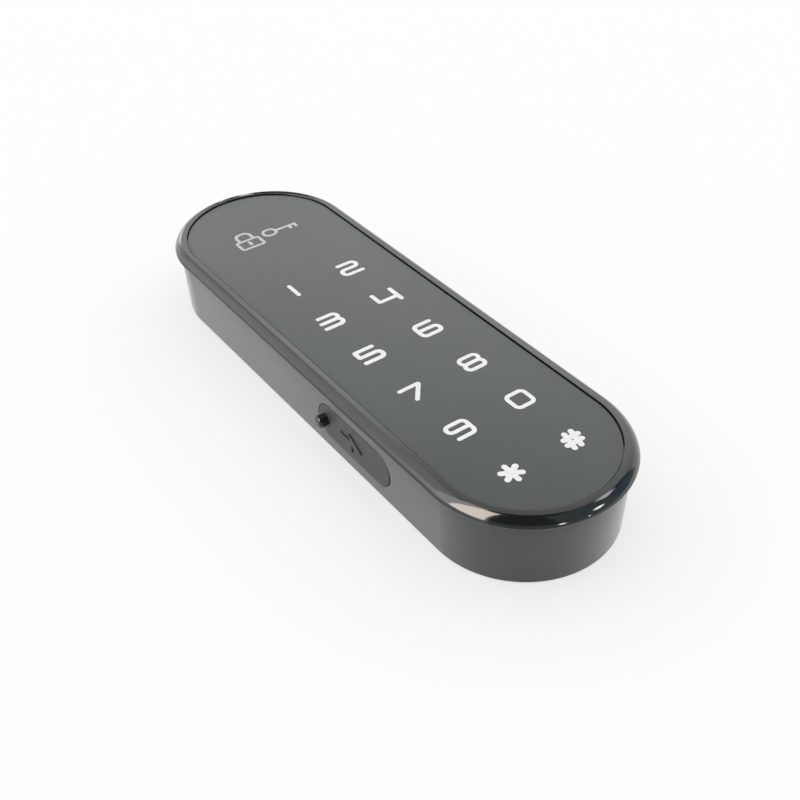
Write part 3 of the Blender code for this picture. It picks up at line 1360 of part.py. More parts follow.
def make_idler():
    """The worm wheel and its pinion, one moulding that turns on a steel pin."""
    bm = bmesh.new()
    twist = WHEEL_WIDTH * math.tan(LEAD_ANGLE) / (MODULE * WHEEL_TEETH / 2)
    add_gear(bm, IDLER_X, IDLER_Y, WHEEL_BOTTOM, WHEEL_TOP, WHEEL_TEETH, math.pi / WHEEL_TEETH, twist, 2)
    idler = part("idler_gear", bm, "natural_nylon")
    extras = bmesh.new()
    add_gear(
        extras, IDLER_X, IDLER_Y, HUB_GEAR_BOTTOM, WHEEL_BOTTOM + SINK, PINION_TEETH, gear_line(),
    )
    join(idler, extras)
    collar = bmesh.new()
    add_cylinder(
        collar, IDLER_X, IDLER_Y, WHEEL_TOP - SINK, GEAR_PLATE_BOTTOM - CLEARANCE,
        IDLER_COLLAR_RADIUS, BOSS_SIDES,
    )
    join(idler, collar)
    bore = bmesh.new()
    add_cylinder(
        bore, IDLER_X, IDLER_Y, HUB_GEAR_BOTTOM - CUT_OVERRUN, GEAR_PLATE_BOTTOM + CUT_OVERRUN,
        IDLER_PIN_RADIUS + CLEARANCE, SCREW_SIDES,
    )
    cut(idler, bore)
    set_origin(idler, (IDLER_X, IDLER_Y, WHEEL_BOTTOM))
    pin = bmesh.new()
    add_cylinder(
        pin, IDLER_X, IDLER_Y, PLATE_THICKNESS - IDLER_PIN_SUNK, GEAR_PLATE_TOP,
        IDLER_PIN_RADIUS, SCREW_SIDES,
    )
    part("idler_pin", pin, "steel")


def make_hub():
    """The output hub: a gear on a stepped barrel, with a square socket open to the back."""
    socket_top = HUB_REAR_RECESS + HUB_SOCKET_DEPTH
    barrel_top = socket_top + HUB_FLOOR
    neck_top = GEAR_PLATE_BOTTOM - CLEARANCE
    profile = [
        (0, HUB_REAR_RECESS),
        (HUB_RADIUS, HUB_REAR_RECESS),
        (HUB_RADIUS, barrel_top),
        (HUB_NECK_RADIUS, barrel_top),
        (HUB_NECK_RADIUS, neck_top),
        (HUB_SPIGOT_RADIUS, neck_top),
        (HUB_SPIGOT_RADIUS, GEAR_PLATE_TOP),
        (0, GEAR_PLATE_TOP),
    ]
    hub = part("output_hub", turned_shape(profile, 0, HUB_Y, HUB_SIDES), "nickel")
    teeth = bmesh.new()
    gap_angle = gear_line() + math.pi
    add_gear(
        teeth, 0, HUB_Y, HUB_GEAR_BOTTOM, HUB_GEAR_TOP, HUB_TEETH, gap_angle + math.pi / HUB_TEETH,
    )
    join(hub, teeth)
    cuts = bmesh.new()
    half = HUB_SOCKET / 2
    add_box(cuts, (-half, HUB_Y - half, -CUT_OVERRUN), (half, HUB_Y + half, socket_top))
    add_cylinder(
        cuts, 0, HUB_Y, GEAR_PLATE_TOP - MAGNET_THICKNESS - CLEARANCE, GEAR_PLATE_TOP + CUT_OVERRUN,
        MAGNET_RADIUS + CLEARANCE, SCREW_SIDES,
    )
    cut(hub, cuts)
    set_origin(hub, (0, HUB_Y, 0))
    magnet = bmesh.new()
    add_cylinder(
        magnet, 0, HUB_Y, GEAR_PLATE_TOP - MAGNET_THICKNESS, GEAR_PLATE_TOP, MAGNET_RADIUS, SCREW_SIDES,
    )
    set_origin(part("hub_magnet", magnet, "nickel"), (0, HUB_Y, 0))

    bore = HUB_RADIUS + CLEARANCE
    flange_low = PLATE_THICKNESS + FILM_CLEARANCE
    ring = [
        (bore, HUB_REAR_RECESS),
        (bore + BUSH_WALL, HUB_REAR_RECESS),
        (bore + BUSH_WALL, flange_low),
        (bore + BUSH_WALL + BUSH_FLANGE_WIDTH, flange_low),
        (bore + BUSH_WALL + BUSH_FLANGE_WIDTH, BUSH_TOP),
        (bore, BUSH_TOP),
        (bore, HUB_REAR_RECESS),
    ]
    part("hub_bush", turned_shape(ring, 0, HUB_Y, HUB_SIDES), "bronze")


def make_gear_plate():
    """A flat plate on three posts that holds the upper ends of the hub and the idler's pin."""
    bm = bmesh.new()
    rounds = [(x, y, POST_RADIUS) for x, y in POST_PLACES]
    rounds.append((IDLER_X, IDLER_Y, IDLER_COLLAR_RADIUS + POST_GAP))
    for x, y, radius in rounds:
        add_cylinder(bm, x, y, GEAR_PLATE_BOTTOM, GEAR_PLATE_TOP, radius, BOSS_SIDES)
    hull = bmesh.ops.convex_hull(bm, input=bm.verts)
    bmesh.ops.delete(bm, geom=hull["geom_interior"] + hull["geom_unused"], context="VERTS")
    inner = [face for face in bm.faces if face not in set(hull["geom"])]
    bmesh.ops.delete(bm, geom=inner, context="FACES_ONLY")
    bmesh.ops.dissolve_limit(bm, angle_limit=math.radians(1), verts=bm.verts, edges=bm.edges)
    plate = part("gear_plate", bm, "natural_nylon", smooth=False)
    holes = bmesh.new()
    bores = [(x, y, SCREW_SHANK_RADIUS) for x, y in POST_PLACES]
    bores += [(IDLER_X, IDLER_Y, IDLER_PIN_RADIUS), (0, HUB_Y, HUB_SPIGOT_RADIUS)]
    for x, y, radius in bores:
        add_cylinder(
            holes, x, y, GEAR_PLATE_BOTTOM - CUT_OVERRUN, GEAR_PLATE_TOP + CUT_OVERRUN,
            radius + CLEARANCE, SCREW_SIDES,
        )
    cut(plate, holes)
    for number, (x, y) in enumerate(POST_PLACES, 1):
        make_screw(
            f"gear_plate_screw_{number}", x, y, GEAR_PLATE_TOP + FILM_CLEARANCE, SCREW_HEAD_RADIUS,
            SCREW_HEAD_HEIGHT, SCREW_SHANK_RADIUS, SCREW_LENGTH, upward=False,
        )


# Port and its cover


def port_board_bottom():
    return PORT_Z - SOCKET_HEIGHT / 2 - FILM_CLEARANCE - PORT_BOARD_THICKNESS


def port_post_place(side):
    x = PORT_PAD_X + CLEARANCE + PORT_BOARD_WIDTH - PORT_POST_EDGE
    return x, PORT_Y + side * PORT_POST_SPREAD


def make_port():
    front = PORT_PAD_X - PORT_FLOOR_WALL / 4
    shell = bmesh.new()
    body = rounded_outline(SOCKET_LENGTH / 2, -SOCKET_HEIGHT / 2, SOCKET_HEIGHT / 2, SOCKET_CORNER, 2)
    add_prism(shell, body, 0, SOCKET_DEPTH, port_turn(front + SOCKET_DEPTH))
    socket = part("usb_socket", shell, "nickel", smooth=False)
    hollow = bmesh.new()
    inside = rounded_outline(
        SOCKET_LENGTH / 2 - SOCKET_WALL, -SOCKET_HEIGHT / 2 + SOCKET_WALL,
        SOCKET_HEIGHT / 2 - SOCKET_WALL, SOCKET_CORNER - SOCKET_WALL, 2,
    )
    add_prism(
        hollow, inside, SOCKET_BACK_WALL, SOCKET_DEPTH + CUT_OVERRUN, port_turn(front + SOCKET_DEPTH),
    )
    cut(socket, hollow)
    tongue = bmesh.new()
    add_box(
        tongue,
        (front + SOCKET_WALL, PORT_Y - SOCKET_TONGUE_WIDTH / 2, PORT_Z - SOCKET_TONGUE_THICKNESS / 2),
        (
            front + SOCKET_DEPTH - SOCKET_WALL, PORT_Y + SOCKET_TONGUE_WIDTH / 2,
            PORT_Z + SOCKET_TONGUE_THICKNESS / 2,
        ),
    )
    join(socket, tongue)

    low = port_board_bottom()
    left = PORT_PAD_X + CLEARANCE
    board = bmesh.new()
    add_box(
        board, (left, PORT_Y - PORT_BOARD_LENGTH / 2, low),
        (left + PORT_BOARD_WIDTH, PORT_Y + PORT_BOARD_LENGTH / 2, low + PORT_BOARD_THICKNESS),
    )
    part("port_board", board, "board_green", smooth=False)

    base = low + PORT_BOARD_THICKNESS + FILM_CLEARANCE
    right = left + PORT_BOARD_WIDTH - HEADER_EDGE / 2
    block = bmesh.new()
    add_box(
        block, (right - HEADER_WIDTH, PORT_Y - HEADER_LENGTH / 2, base),
        (right, PORT_Y + HEADER_LENGTH / 2, base + HEADER_HEIGHT),
    )
    header = part("pin_header", block, "chip_black", smooth=False)
    pins = bmesh.new()
    pin_x = right - HEADER_WIDTH / 2
    for index in range(HEADER_PINS):
        y = PORT_Y + (index - (HEADER_PINS - 1) / 2) * HEADER_LENGTH / HEADER_PINS
        add_box(
            pins, (pin_x - HEADER_PIN / 2, y - HEADER_PIN / 2, base + HEADER_HEIGHT - SINK),
            (pin_x + HEADER_PIN / 2, y + HEADER_PIN / 2, CHIP_TOP),
        )
    join(header, pins)


def make_port_cover():
    """The flap swings on a fold line beside its fixed anchor, at the end away from the pull."""
    flap_length = PORT_LENGTH - 2 * COVER_GAP
    flap_height = PORT_HEIGHT - 2 * COVER_GAP
    outline = slot_outline(flap_length, flap_height)
    far = PORT_LENGTH
    for name, low_y, high_y in (
        ("port_cover", COVER_HINGE_Y + HINGE_GAP / 2, PORT_Y + far),
        ("port_anchor", PORT_Y - far, COVER_HINGE_Y - HINGE_GAP / 2),
    ):
        flap = bmesh.new()
        add_prism(flap, outline, 0, COVER_THICKNESS, port_turn(COVER_BACK_X))
        piece = part(name, flap, "rubber_black")
        keep = bmesh.new()
        add_box(
            keep, (COVER_FACE_X - CUT_OVERRUN, low_y, PORT_Z - PORT_HEIGHT),
            (COVER_BACK_X + CUT_OVERRUN, high_y, PORT_Z + PORT_HEIGHT),
        )
        boolean(piece, "INTERSECT", cutter(f"{name}_keep", keep))
    cover = bpy.data.objects["port_cover"]
    plug = bmesh.new()
    add_prism(
        plug, slot_outline(PLUG_LENGTH, PLUG_HEIGHT), -PLUG_DEPTH, SINK, port_turn(COVER_BACK_X),
    )
    join(cover, plug)
    mark = bmesh.new()
    add_prism(mark, bolt_outline(), 0, SINK + MARK_HEIGHT, port_turn(COVER_FACE_X + SINK))
    join(cover, mark)
    hole = bmesh.new()
    add_cylinder_along(
        hole, (1, 0, 0), (COVER_FACE_X - CUT_OVERRUN, PULL_Y, PORT_Z),
        COVER_THICKNESS + 2 * CUT_OVERRUN, PULL_STEM_RADIUS + CLEARANCE, SCREW_SIDES,
    )
    cut(cover, hole)
    set_origin(cover, (COVER_FACE_X, COVER_HINGE_Y, PORT_Z))

    face = FILM_CLEARANCE
    profile = [
        (0, -COVER_THICKNESS + FILM_CLEARANCE),
        (PULL_STEM_RADIUS, -COVER_THICKNESS + FILM_CLEARANCE),
        (PULL_STEM_RADIUS, face),
        (PULL_RADIUS, face),
        (PULL_RADIUS, PULL_LENGTH - PULL_ROUND),
    ]
    profile += arc_profile((PULL_RADIUS - PULL_ROUND, PULL_LENGTH - PULL_ROUND), PULL_ROUND, 30, 90, 2)
    profile.append((0, PULL_LENGTH))
    peg = turned_shape(profile, 0, 0, PULL_SIDES)
    turn = Matrix(((0, 0, -1, COVER_FACE_X), (0, 1, 0, PULL_Y), (1, 0, 0, PORT_Z), (0, 0, 0, 1)))
    bmesh.ops.transform(peg, matrix=turn, verts=peg.verts)
    pull = part("cover_pull", peg, "gloss_black")
    set_origin(pull, (COVER_FACE_X, COVER_HINGE_Y, PORT_Z))


def bolt_outline():
    """A plain lightning bolt lying along the flap, in shares of the mark's length and width."""
    bolt_shares = (
        (-0.5, -0.1), (0.02, 0.5), (0.0, 0.12), (0.5, 0.1), (-0.02, -0.5), (0.0, -0.12),
    )
    return [(MARK_OFFSET + x * MARK_LENGTH, y * MARK_WIDTH) for x, y in bolt_shares]


# Setup button


def make_setup_button():
    """A long plunger pressed from the back, which travels up with the switch's nib."""
    x, y = BUTTON_PLACE
    switch_low = CHIP_TOP - SWITCH_HEIGHT
    top = switch_low - NIB_PROUD
    flange_low = PLATE_THICKNESS + BUTTON_GUIDE_HEIGHT + CLEARANCE
    profile = [
        (0, BUTTON_RECESS),
        (BUTTON_RADIUS, BUTTON_RECESS),
        (BUTTON_RADIUS, flange_low),
        (BUTTON_RADIUS + BUTTON_FLANGE, flange_low),
        (BUTTON_RADIUS + BUTTON_FLANGE, flange_low + BUTTON_FLANGE_THICKNESS),
        (BUTTON_RADIUS, flange_low + BUTTON_FLANGE_THICKNESS),
        (BUTTON_RADIUS, top - FILM_CLEARANCE),
        (0, top - FILM_CLEARANCE),
    ]
    button = part("setup_button", turned_shape(profile, x, y, BOSS_SIDES), "natural_nylon")
    set_origin(button, (x, y, 0))
    nib = bmesh.new()
    nib_top = CHIP_TOP - BUTTON_TRAVEL - 2 * CLEARANCE
    add_cylinder(nib, x, y, top, nib_top, NIB_RADIUS, SCREW_SIDES)
    set_origin(part("switch_nib", nib, "natural_nylon"), (x, y, 0))
    switch = under_board("button_switch", x, y, SWITCH_SIZE, SWITCH_SIZE, SWITCH_HEIGHT, "chip_black")
    bore = bmesh.new()
    add_cylinder(
        bore, x, y, switch_low - CUT_OVERRUN, CHIP_TOP - CLEARANCE, NIB_RADIUS + CLEARANCE, SCREW_SIDES,
    )
    cut(switch, bore)


def build():
    clear_scene()
    make_body_shell()
    make_bezel()
    make_panel()
    make_light_guide()
    make_main_board()
    make_board_pieces()
    make_back_plate()
    make_back_pieces()
    make_battery_door()
    make_cells()
    make_contacts()
    make_motor()
    make_motor_leads()
    make_motor_worm()
    make_idler()
    make_hub()
    make_gear_plate()
    make_port()
    make_port_cover()
    make_setup_button()


build()
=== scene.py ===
import math

import bmesh
import bpy
from mathutils import Matrix, Vector


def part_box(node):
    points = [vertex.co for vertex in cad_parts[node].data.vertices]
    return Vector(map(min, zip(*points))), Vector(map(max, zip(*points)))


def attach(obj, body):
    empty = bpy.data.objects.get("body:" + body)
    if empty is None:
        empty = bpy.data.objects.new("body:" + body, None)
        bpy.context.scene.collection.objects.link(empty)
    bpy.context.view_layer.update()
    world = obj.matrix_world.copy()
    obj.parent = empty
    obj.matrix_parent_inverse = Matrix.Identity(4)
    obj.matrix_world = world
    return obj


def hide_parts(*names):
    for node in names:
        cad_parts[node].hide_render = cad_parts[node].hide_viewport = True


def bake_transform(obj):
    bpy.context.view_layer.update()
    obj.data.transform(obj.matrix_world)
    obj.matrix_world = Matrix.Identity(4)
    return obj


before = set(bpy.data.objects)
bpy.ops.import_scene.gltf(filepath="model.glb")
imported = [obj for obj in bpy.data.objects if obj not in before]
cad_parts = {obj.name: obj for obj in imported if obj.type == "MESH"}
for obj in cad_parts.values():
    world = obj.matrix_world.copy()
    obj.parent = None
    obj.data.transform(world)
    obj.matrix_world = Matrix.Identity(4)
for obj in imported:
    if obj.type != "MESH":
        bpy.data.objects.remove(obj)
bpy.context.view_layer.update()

mm = 0.001

# Places of the CAD pieces that the new ones fit
rimLow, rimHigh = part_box("bezel_frame")
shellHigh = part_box("body_shell")[1]
panelLow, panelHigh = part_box("touch_panel")
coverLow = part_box("port_cover")[0]
anchorLow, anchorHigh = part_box("port_anchor")
pegLow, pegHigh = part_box("cover_pull")
halfStraight = rimHigh.y - rimHigh.x


# Wiring of shader nodes

class Wire:
    def __init__(self, tree, socket):
        self.tree = tree
        self.socket = socket

    def node(self, kind, settings, inputs, output=0):
        made = self.tree.nodes.new(kind)
        for key, value in settings.items():
            setattr(made, key, value)
        for key, value in inputs.items():
            plug(self.tree, made.inputs[key], value)
        return Wire(self.tree, made.outputs[output])

    def combine(self, operation, first, second):
        return self.node("ShaderNodeMath", {"operation": operation}, {0: first, 1: second})

    def __add__(self, other):
        return self.combine("ADD", self, other)

    def __radd__(self, other):
        return self.combine("ADD", other, self)

    def __sub__(self, other):
        return self.combine("SUBTRACT", self, other)

    def __rsub__(self, other):
        return self.combine("SUBTRACT", other, self)

    def __mul__(self, other):
        return self.combine("MULTIPLY", self, other)

    def __rmul__(self, other):
        return self.combine("MULTIPLY", other, self)

    def __gt__(self, other):
        return self.combine("GREATER_THAN", self, other)


def plug(tree, socket, value):
    if isinstance(value, Wire):
        tree.links.new(value.socket, socket)
    else:
        socket.default_value = value


# Materials: the small functions return a wire each

# where the noise turns to the second tone, how fine it is, and how far it changes the polish
mottled = {
    "patchFrom": 0.35,
    "patchTo": 0.65,
    "patchDetail": 3,
    "grainDetail": 4,
    "grainRoughness": 0.6,
    "middle": 0.5,
    "patchPolish": 0.5,
}
brushed = {
    "tarnishFrom": 0.4,
    "tarnishTo": 0.7,
    "tarnishDetail": 3,
    "lineDetail": 3,
    "lineRoughness": 0.6,
}


def startMaterial(name, look):
    material = bpy.data.materials.new(name)
    material.use_nodes = True
    tree = material.node_tree
    shader = tree.nodes["Principled BSDF"]
    shader.inputs["Base Color"].default_value = (*look["colour"], 1)
    shader.inputs["Roughness"].default_value = look["roughness"]
    shader.inputs["Metallic"].default_value = look.get("metal", 0.0)
    shader.inputs["Coat Weight"].default_value = look.get("coat", 0.0)
    shader.inputs["Coat Roughness"].default_value = look.get("coatRoughness", 0.03)
    shader.inputs["Sheen Weight"].default_value = look.get("sheen", 0.0)
    shader.inputs["Sheen Roughness"].default_value = look.get("sheenRoughness", 0.4)
    material.diffuse_color = (*look["colour"], 1)
    coords = Wire(tree, tree.nodes.new("ShaderNodeTexCoord").outputs["Object"])
    return material, shader, coords


def noise(coords, size, detail, roughness=0.5):
    inputs = {"Vector": coords, "Scale": 1 / size, "Detail": detail, "Roughness": roughness}
    return coords.node("ShaderNodeTexNoise", {}, inputs)


def stretched(coords, scale):
    return coords.node("ShaderNodeMapping", {}, {"Vector": coords, "Scale": scale})


def pieceOf(coords, axis):
    return coords.node("ShaderNodeSeparateXYZ", {}, {"Vector": coords}, "XYZ".index(axis))


def spread(mask, low, high):
    inputs = {"Value": mask, "From Min": low, "From Max": high}
    return mask.node("ShaderNodeMapRange", {"clamp": True}, inputs)


def blendColours(mask, first, second):
    inputs = {0: mask}
    inputs[6] = first if isinstance(first, Wire) else (*first, 1)
    inputs[7] = second if isinstance(second, Wire) else (*second, 1)
    return mask.node("ShaderNodeMix", {"data_type": "RGBA"}, inputs, 2)


def bumped(height, look):
    inputs = {"Height": height, "Distance": look["depth"], "Strength": look["strength"]}
    return height.node("ShaderNodeBump", {}, inputs)


def mottledPlastic(name, look):
    # moulded plastic: two close tones in soft patches, a fine grain and uneven polish
    material, shader, coords = startMaterial(name, look)
    broad = noise(coords, look["patch"], mottled["patchDetail"])
    patches = spread(broad, mottled["patchFrom"], mottled["patchTo"])
    grain = noise(coords, look["grain"], mottled["grainDetail"], mottled["grainRoughness"])
    tone = blendColours(patches, look["colour"], look["second"])
    plug(material.node_tree, shader.inputs["Base Color"], tone)
    polish = look["roughness"] + (grain - mottled["middle"]) * look["uneven"]
    polish = polish + (patches - mottled["middle"]) * look["uneven"] * mottled["patchPolish"]
    plug(material.node_tree, shader.inputs["Roughness"], polish)
    plug(material.node_tree, shader.inputs["Normal"], bumped(grain, look))
    return material


def brushedMetal(name, look):
    # fine drawn lines along one axis and a little tarnish
    material, shader, coords = startMaterial(name, look)
    along = stretched(coords, look["lines"])
    lines = noise(along, look["grain"], brushed["lineDetail"], brushed["lineRoughness"])
    broad = noise(coords, look["patch"], brushed["tarnishDetail"])
    tarnish = spread(broad, brushed["tarnishFrom"], brushed["tarnishTo"])
    tone = blendColours(tarnish, look["colour"], look["second"])
    plug(material.node_tree, shader.inputs["Base Color"], tone)
    plug(material.node_tree, shader.inputs["Roughness"], look["roughness"] + lines * look["uneven"])
    plug(material.node_tree, shader.inputs["Normal"], bumped(lines, look))
    return material


caseLook = {
    "colour": (0.02, 0.0225, 0.0225),
    "second": (0.028, 0.031, 0.031),
    "roughness": 0.4,
    "uneven": 0.12,
    "patch": 9 * mm,
    "grain": 0.35 * mm,
    "depth": 0.02 * mm,
    "strength": 0.35,
    "sheen": 1.0,
    "sheenRoughness": 0.4,
}
rimLook = {
    "colour": (0.004, 0.0045, 0.005),
    "second": (0.007, 0.008, 0.008),
    "roughness": 0.09,
    "uneven": 0.03,
    "patch": 9 * mm,
    "grain": 1.6 * mm,
    "depth": 0.006 * mm,
    "strength": 0.12,
    "coat": 0.6,
    "coatRoughness": 0.04,
}
panelLook = {
    "colour": (0.013, 0.025, 0.023),
    "second": (0.021, 0.033, 0.031),
    "roughness": 0.32,
    "uneven": 0.06,
    "patch": 22 * mm,
    "grain": 0.25 * mm,
    "depth": 0.006 * mm,
    "strength": 0.2,
    "sheen": 0.5,
    "sheenRoughness": 0.5,
}
inkLook = {
    "colour": (0.84, 0.86, 0.86),
    "second": (0.78, 0.8, 0.8),
    "roughness": 0.5,
    "uneven": 0.1,
    "patch": 1.2 * mm,
    "grain": 0.2 * mm,
    "depth": 0.004 * mm,
    "strength": 0.2,
}
fadedInkLook = dict(inkLook, colour=(0.56, 0.58, 0.58), second=(0.5, 0.52, 0.52))
flapLook = {
    "colour": (0.026, 0.027, 0.028),
    "second": (0.034, 0.035, 0.036),
    "roughness": 0.5,
    "uneven": 0.14,
    "patch": 3 * mm,
    "grain": 0.22 * mm,
    "depth": 0.012 * mm,
    "strength": 0.4,
    "sheen": 0.22,
    "sheenRoughness": 0.4,
}
pegLook = {
    "colour": (0.006, 0.006, 0.007),
    "second": (0.012, 0.012, 0.013),
    "roughness": 0.16,
    "uneven": 0.05,
    "patch": 1.5 * mm,
    "grain": 0.4 * mm,
    "depth": 0.01 * mm,
    "strength": 0.2,
    "coat": 0.3,
}
sealLook = {
    "colour": (0.42, 0.05, 0.035),
    "second": (0.34, 0.04, 0.03),
    "roughness": 0.6,
    "uneven": 0.15,
    "patch": 6 * mm,
    "grain": 0.4 * mm,
    "depth": 0.01 * mm,
    "strength": 0.3,
}
foamLook = {
    "colour": (0.09, 0.09, 0.09),
    "second": (0.13, 0.13, 0.13),
    "roughness": 0.9,
    "uneven": 0.1,
    "patch": 1.5 * mm,
    "grain": 0.3 * mm,
    "depth": 0.05 * mm,
    "strength": 0.6,
}
guideLook = {
    "colour": (0.78, 0.79, 0.78),
    "second": (0.7, 0.72, 0.72),
    "roughness": 0.45,
    "uneven": 0.1,
    "patch": 8 * mm,
    "grain": 0.3 * mm,
    "depth": 0.006 * mm,
    "strength": 0.2,
}
chipLook = {
    "colour": (0.018, 0.018, 0.019),
    "second": (0.03, 0.03, 0.031),
    "roughness": 0.55,
    "uneven": 0.2,
    "patch": 1.5 * mm,
    "grain": 0.12 * mm,
    "depth": 0.01 * mm,
    "strength": 0.5,
}
nylonLook = {
    "colour": (0.74, 0.72, 0.64),
    "second": (0.66, 0.64, 0.56),
    "roughness": 0.45,
    "uneven": 0.15,
    "patch": 3 * mm,
    "grain": 0.3 * mm,
    "depth": 0.01 * mm,
    "strength": 0.3,
}
blackWireLook = dict(chipLook, roughness=0.4, grain=0.5 * mm)
redWireLook = dict(chipLook, colour=(0.55, 0.03, 0.02), second=(0.45, 0.025, 0.02), roughness=0.4)
steelLook = {
    "colour": (0.56, 0.56, 0.57),
    "second": (0.42, 0.42, 0.43),
    "roughness": 0.26,
    "uneven": 0.2,
    "metal": 1.0,
    "patch": 3 * mm,
    "grain": 0.4 * mm,
    "lines": (1, 6, 1),
    "depth": 0.008 * mm,
    "strength": 0.3,
}
nickelLook = dict(steelLook, colour=(0.68, 0.66, 0.62), second=(0.55, 0.53, 0.49), roughness=0.18)
brassLook = dict(steelLook, colour=(0.78, 0.57, 0.24), second=(0.6, 0.42, 0.17), roughness=0.22)
bronzeLook = dict(steelLook, colour=(0.5, 0.33, 0.17), second=(0.33, 0.21, 0.11), roughness=0.35)
bronzeLook["lines"] = (1, 1, 1)


def boardMaterial():
    # green solder mask with faint copper runs under it
    look = {
        "colour": (0.015, 0.13, 0.055),
        "second": (0.035, 0.2, 0.08),
        "roughness": 0.32,
        "runs": 1.1 * mm,
        "waveScale": 0.3,
        "runShare": 0.6,
        "patch": 7 * mm,
        "patchShare": 0.48,
        "depth": 0.02 * mm,
        "strength": 0.5,
    }
    material, shader, coords = startMaterial("boardMask", look)
    wander = noise(coords, look["patch"], 1)
    scale = look["waveScale"] / look["runs"]
    inputs = {"Vector": coords, "Scale": scale, "Distortion": 0.0, "Detail": 0.0}
    runs = coords.node("ShaderNodeTexWave", {"bands_direction": "Y"}, inputs)
    mask = (runs > look["runShare"]) * (wander > look["patchShare"])
    tone = blendColours(mask, look["colour"], look["second"])
    plug(material.node_tree, shader.inputs["Base Color"], tone)
    plug(material.node_tree, shader.inputs["Normal"], bumped(mask, look))
    return material


def cellMaterial(towardsPlusY):
    # printed sleeve: a copper-toned end at the nub and a dark green body
    look = {
        "colour": (0.03, 0.17, 0.09),
        "second": (0.6, 0.33, 0.14),
        "roughness": 0.22,
        "uneven": 0.18,
        "metal": 0.35,
        "coat": 0.4,
        "scuff": 2 * mm,
        "scuffDetail": 4,
        "bandAbove": 37 * mm,
        "bandBelow": 15 * mm,
    }
    name = "cellSleeveUp" if towardsPlusY else "cellSleeveDown"
    material, shader, coords = startMaterial(name, look)
    along = pieceOf(coords, "Y")
    band = along > look["bandAbove"] if towardsPlusY else 1 - (along > look["bandBelow"])
    scuffs = noise(coords, look["scuff"], look["scuffDetail"])
    tone = blendColours(band, look["colour"], look["second"])
    plug(material.node_tree, shader.inputs["Base Color"], tone)
    polish = look["roughness"] + scuffs * look["uneven"]
    plug(material.node_tree, shader.inputs["Roughness"], polish)
    return material


print("materials")
casePlastic = mottledPlastic("casePlastic", caseLook)
rimGloss = mottledPlastic("rimGloss", rimLook)
panelSatin = mottledPlastic("panelSatin", panelLook)
keyInk = mottledPlastic("keyInk", inkLook)
fadedInk = mottledPlastic("fadedInk", fadedInkLook)
flapRubber = mottledPlastic("flapRubber", flapLook)
pegGloss = mottledPlastic("pegGloss", pegLook)
sealRubber = mottledPlastic("sealRubber", sealLook)
gasketFoam = mottledPlastic("gasketFoam", foamLook)
guideWhite = mottledPlastic("guideWhite", guideLook)
chipBlack = mottledPlastic("chipBlack", chipLook)
nylon = mottledPlastic("nylon", nylonLook)
wireBlack = mottledPlastic("wireBlack", blackWireLook)
wireRed = mottledPlastic("wireRed", redWireLook)
steel = brushedMetal("steel", steelLook)
nickel = brushedMetal("nickel", nickelLook)
brass = brushedMetal("brass", brassLook)
bronze = brushedMetal("bronze", bronzeLook)
boardMask = boardMaterial()
cellUp = cellMaterial(True)
cellDown = cellMaterial(False)

nodeFinishes = {
    "back_plate": casePlastic,
    "battery_door": casePlastic,
    "back_seal": sealRubber,
    "panel_adhesive": gasketFoam,
    "light_guide": guideWhite,
    "main_board": boardMask,
    "port_board": boardMask,
    "controller_chip": chipBlack,
    "touch_chip": chipBlack,
    "angle_sensor": chipBlack,
    "buzzer": chipBlack,
    "button_switch": chipBlack,
    "pin_header": chipBlack,
    "gear_plate": nylon,
    "idler_gear": nylon,
    "setup_button": nylon,
    "switch_nib": nylon,
    "motor_lead_1": wireBlack,
    "motor_lead_2": wireRed,
    "battery_cell_1": cellUp,
    "battery_cell_2": cellDown,
    "battery_cell_3": cellUp,
    "motor_worm": brass,
    "hub_bush": bronze,
    "output_hub": nickel,
    "hub_magnet": nickel,
    "usb_socket": nickel,
}
prefixFinishes = {
    "battery_spring": nickel,
    "contact_plate": nickel,
    "mounting_insert": brass,
    "motor": steel,
    "idler_pin": steel,
    "bracket_screw": steel,
    "board_screw": steel,
    "gear_plate_screw": steel,
    "back_screw": steel,
    "door_screw": steel,
    "body_shell": casePlastic,
    "bezel_frame": rimGloss,
    "touch_panel": panelSatin,
    "port": flapRubber,
    "cover_pull": pegGloss,
}


def finishFor(name):
    if name in nodeFinishes:
        return nodeFinishes[name]
    fitting = [prefix for prefix in prefixFinishes if name.startswith(prefix)]
    return prefixFinishes[max(fitting, key=len)]


for nodeName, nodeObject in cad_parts.items():
    nodeObject.data.materials.clear()
    nodeObject.data.materials.append(finishFor(nodeName))


# Modelling by operators

mergeWithin = 0.0005 * mm
edgeSteps = 4  # of a small rounded edge
smoothAngle = 35


def deselect():
    for chosen in list(bpy.context.selected_objects):
        chosen.select_set(False)


def choose(piece):
    deselect()
    piece.select_set(True)
    bpy.context.view_layer.objects.active = piece


def edit(piece):
    choose(piece)
    bpy.ops.object.mode_set(mode="EDIT")
    bpy.ops.mesh.select_mode(type="VERT")


def leave():
    bpy.ops.object.mode_set(mode="OBJECT")


def pick(piece, test):
    mesh = bmesh.from_edit_mesh(piece.data)
    for vert in mesh.verts:
        vert.select = test(vert.co)
    mesh.select_flush(True)
    mesh.select_flush(False)
    bmesh.update_edit_mesh(piece.data)


def tracePath(name, points):
    # one vertex, pushed from point to point
    deselect()
    bpy.ops.mesh.primitive_plane_add(size=1, location=(0, 0, 0))
    piece = bpy.context.active_object
    piece.name = name
    piece.data.name = name
    edit(piece)
    bpy.ops.mesh.select_all(action="SELECT")
    bpy.ops.mesh.merge(type="CENTER")
    bpy.ops.transform.translate(value=points[0])
    for before, after in zip(points, points[1:]):
        bpy.ops.mesh.extrude_vertices_move(TRANSFORM_OT_translate={"value": after - before})
    return piece


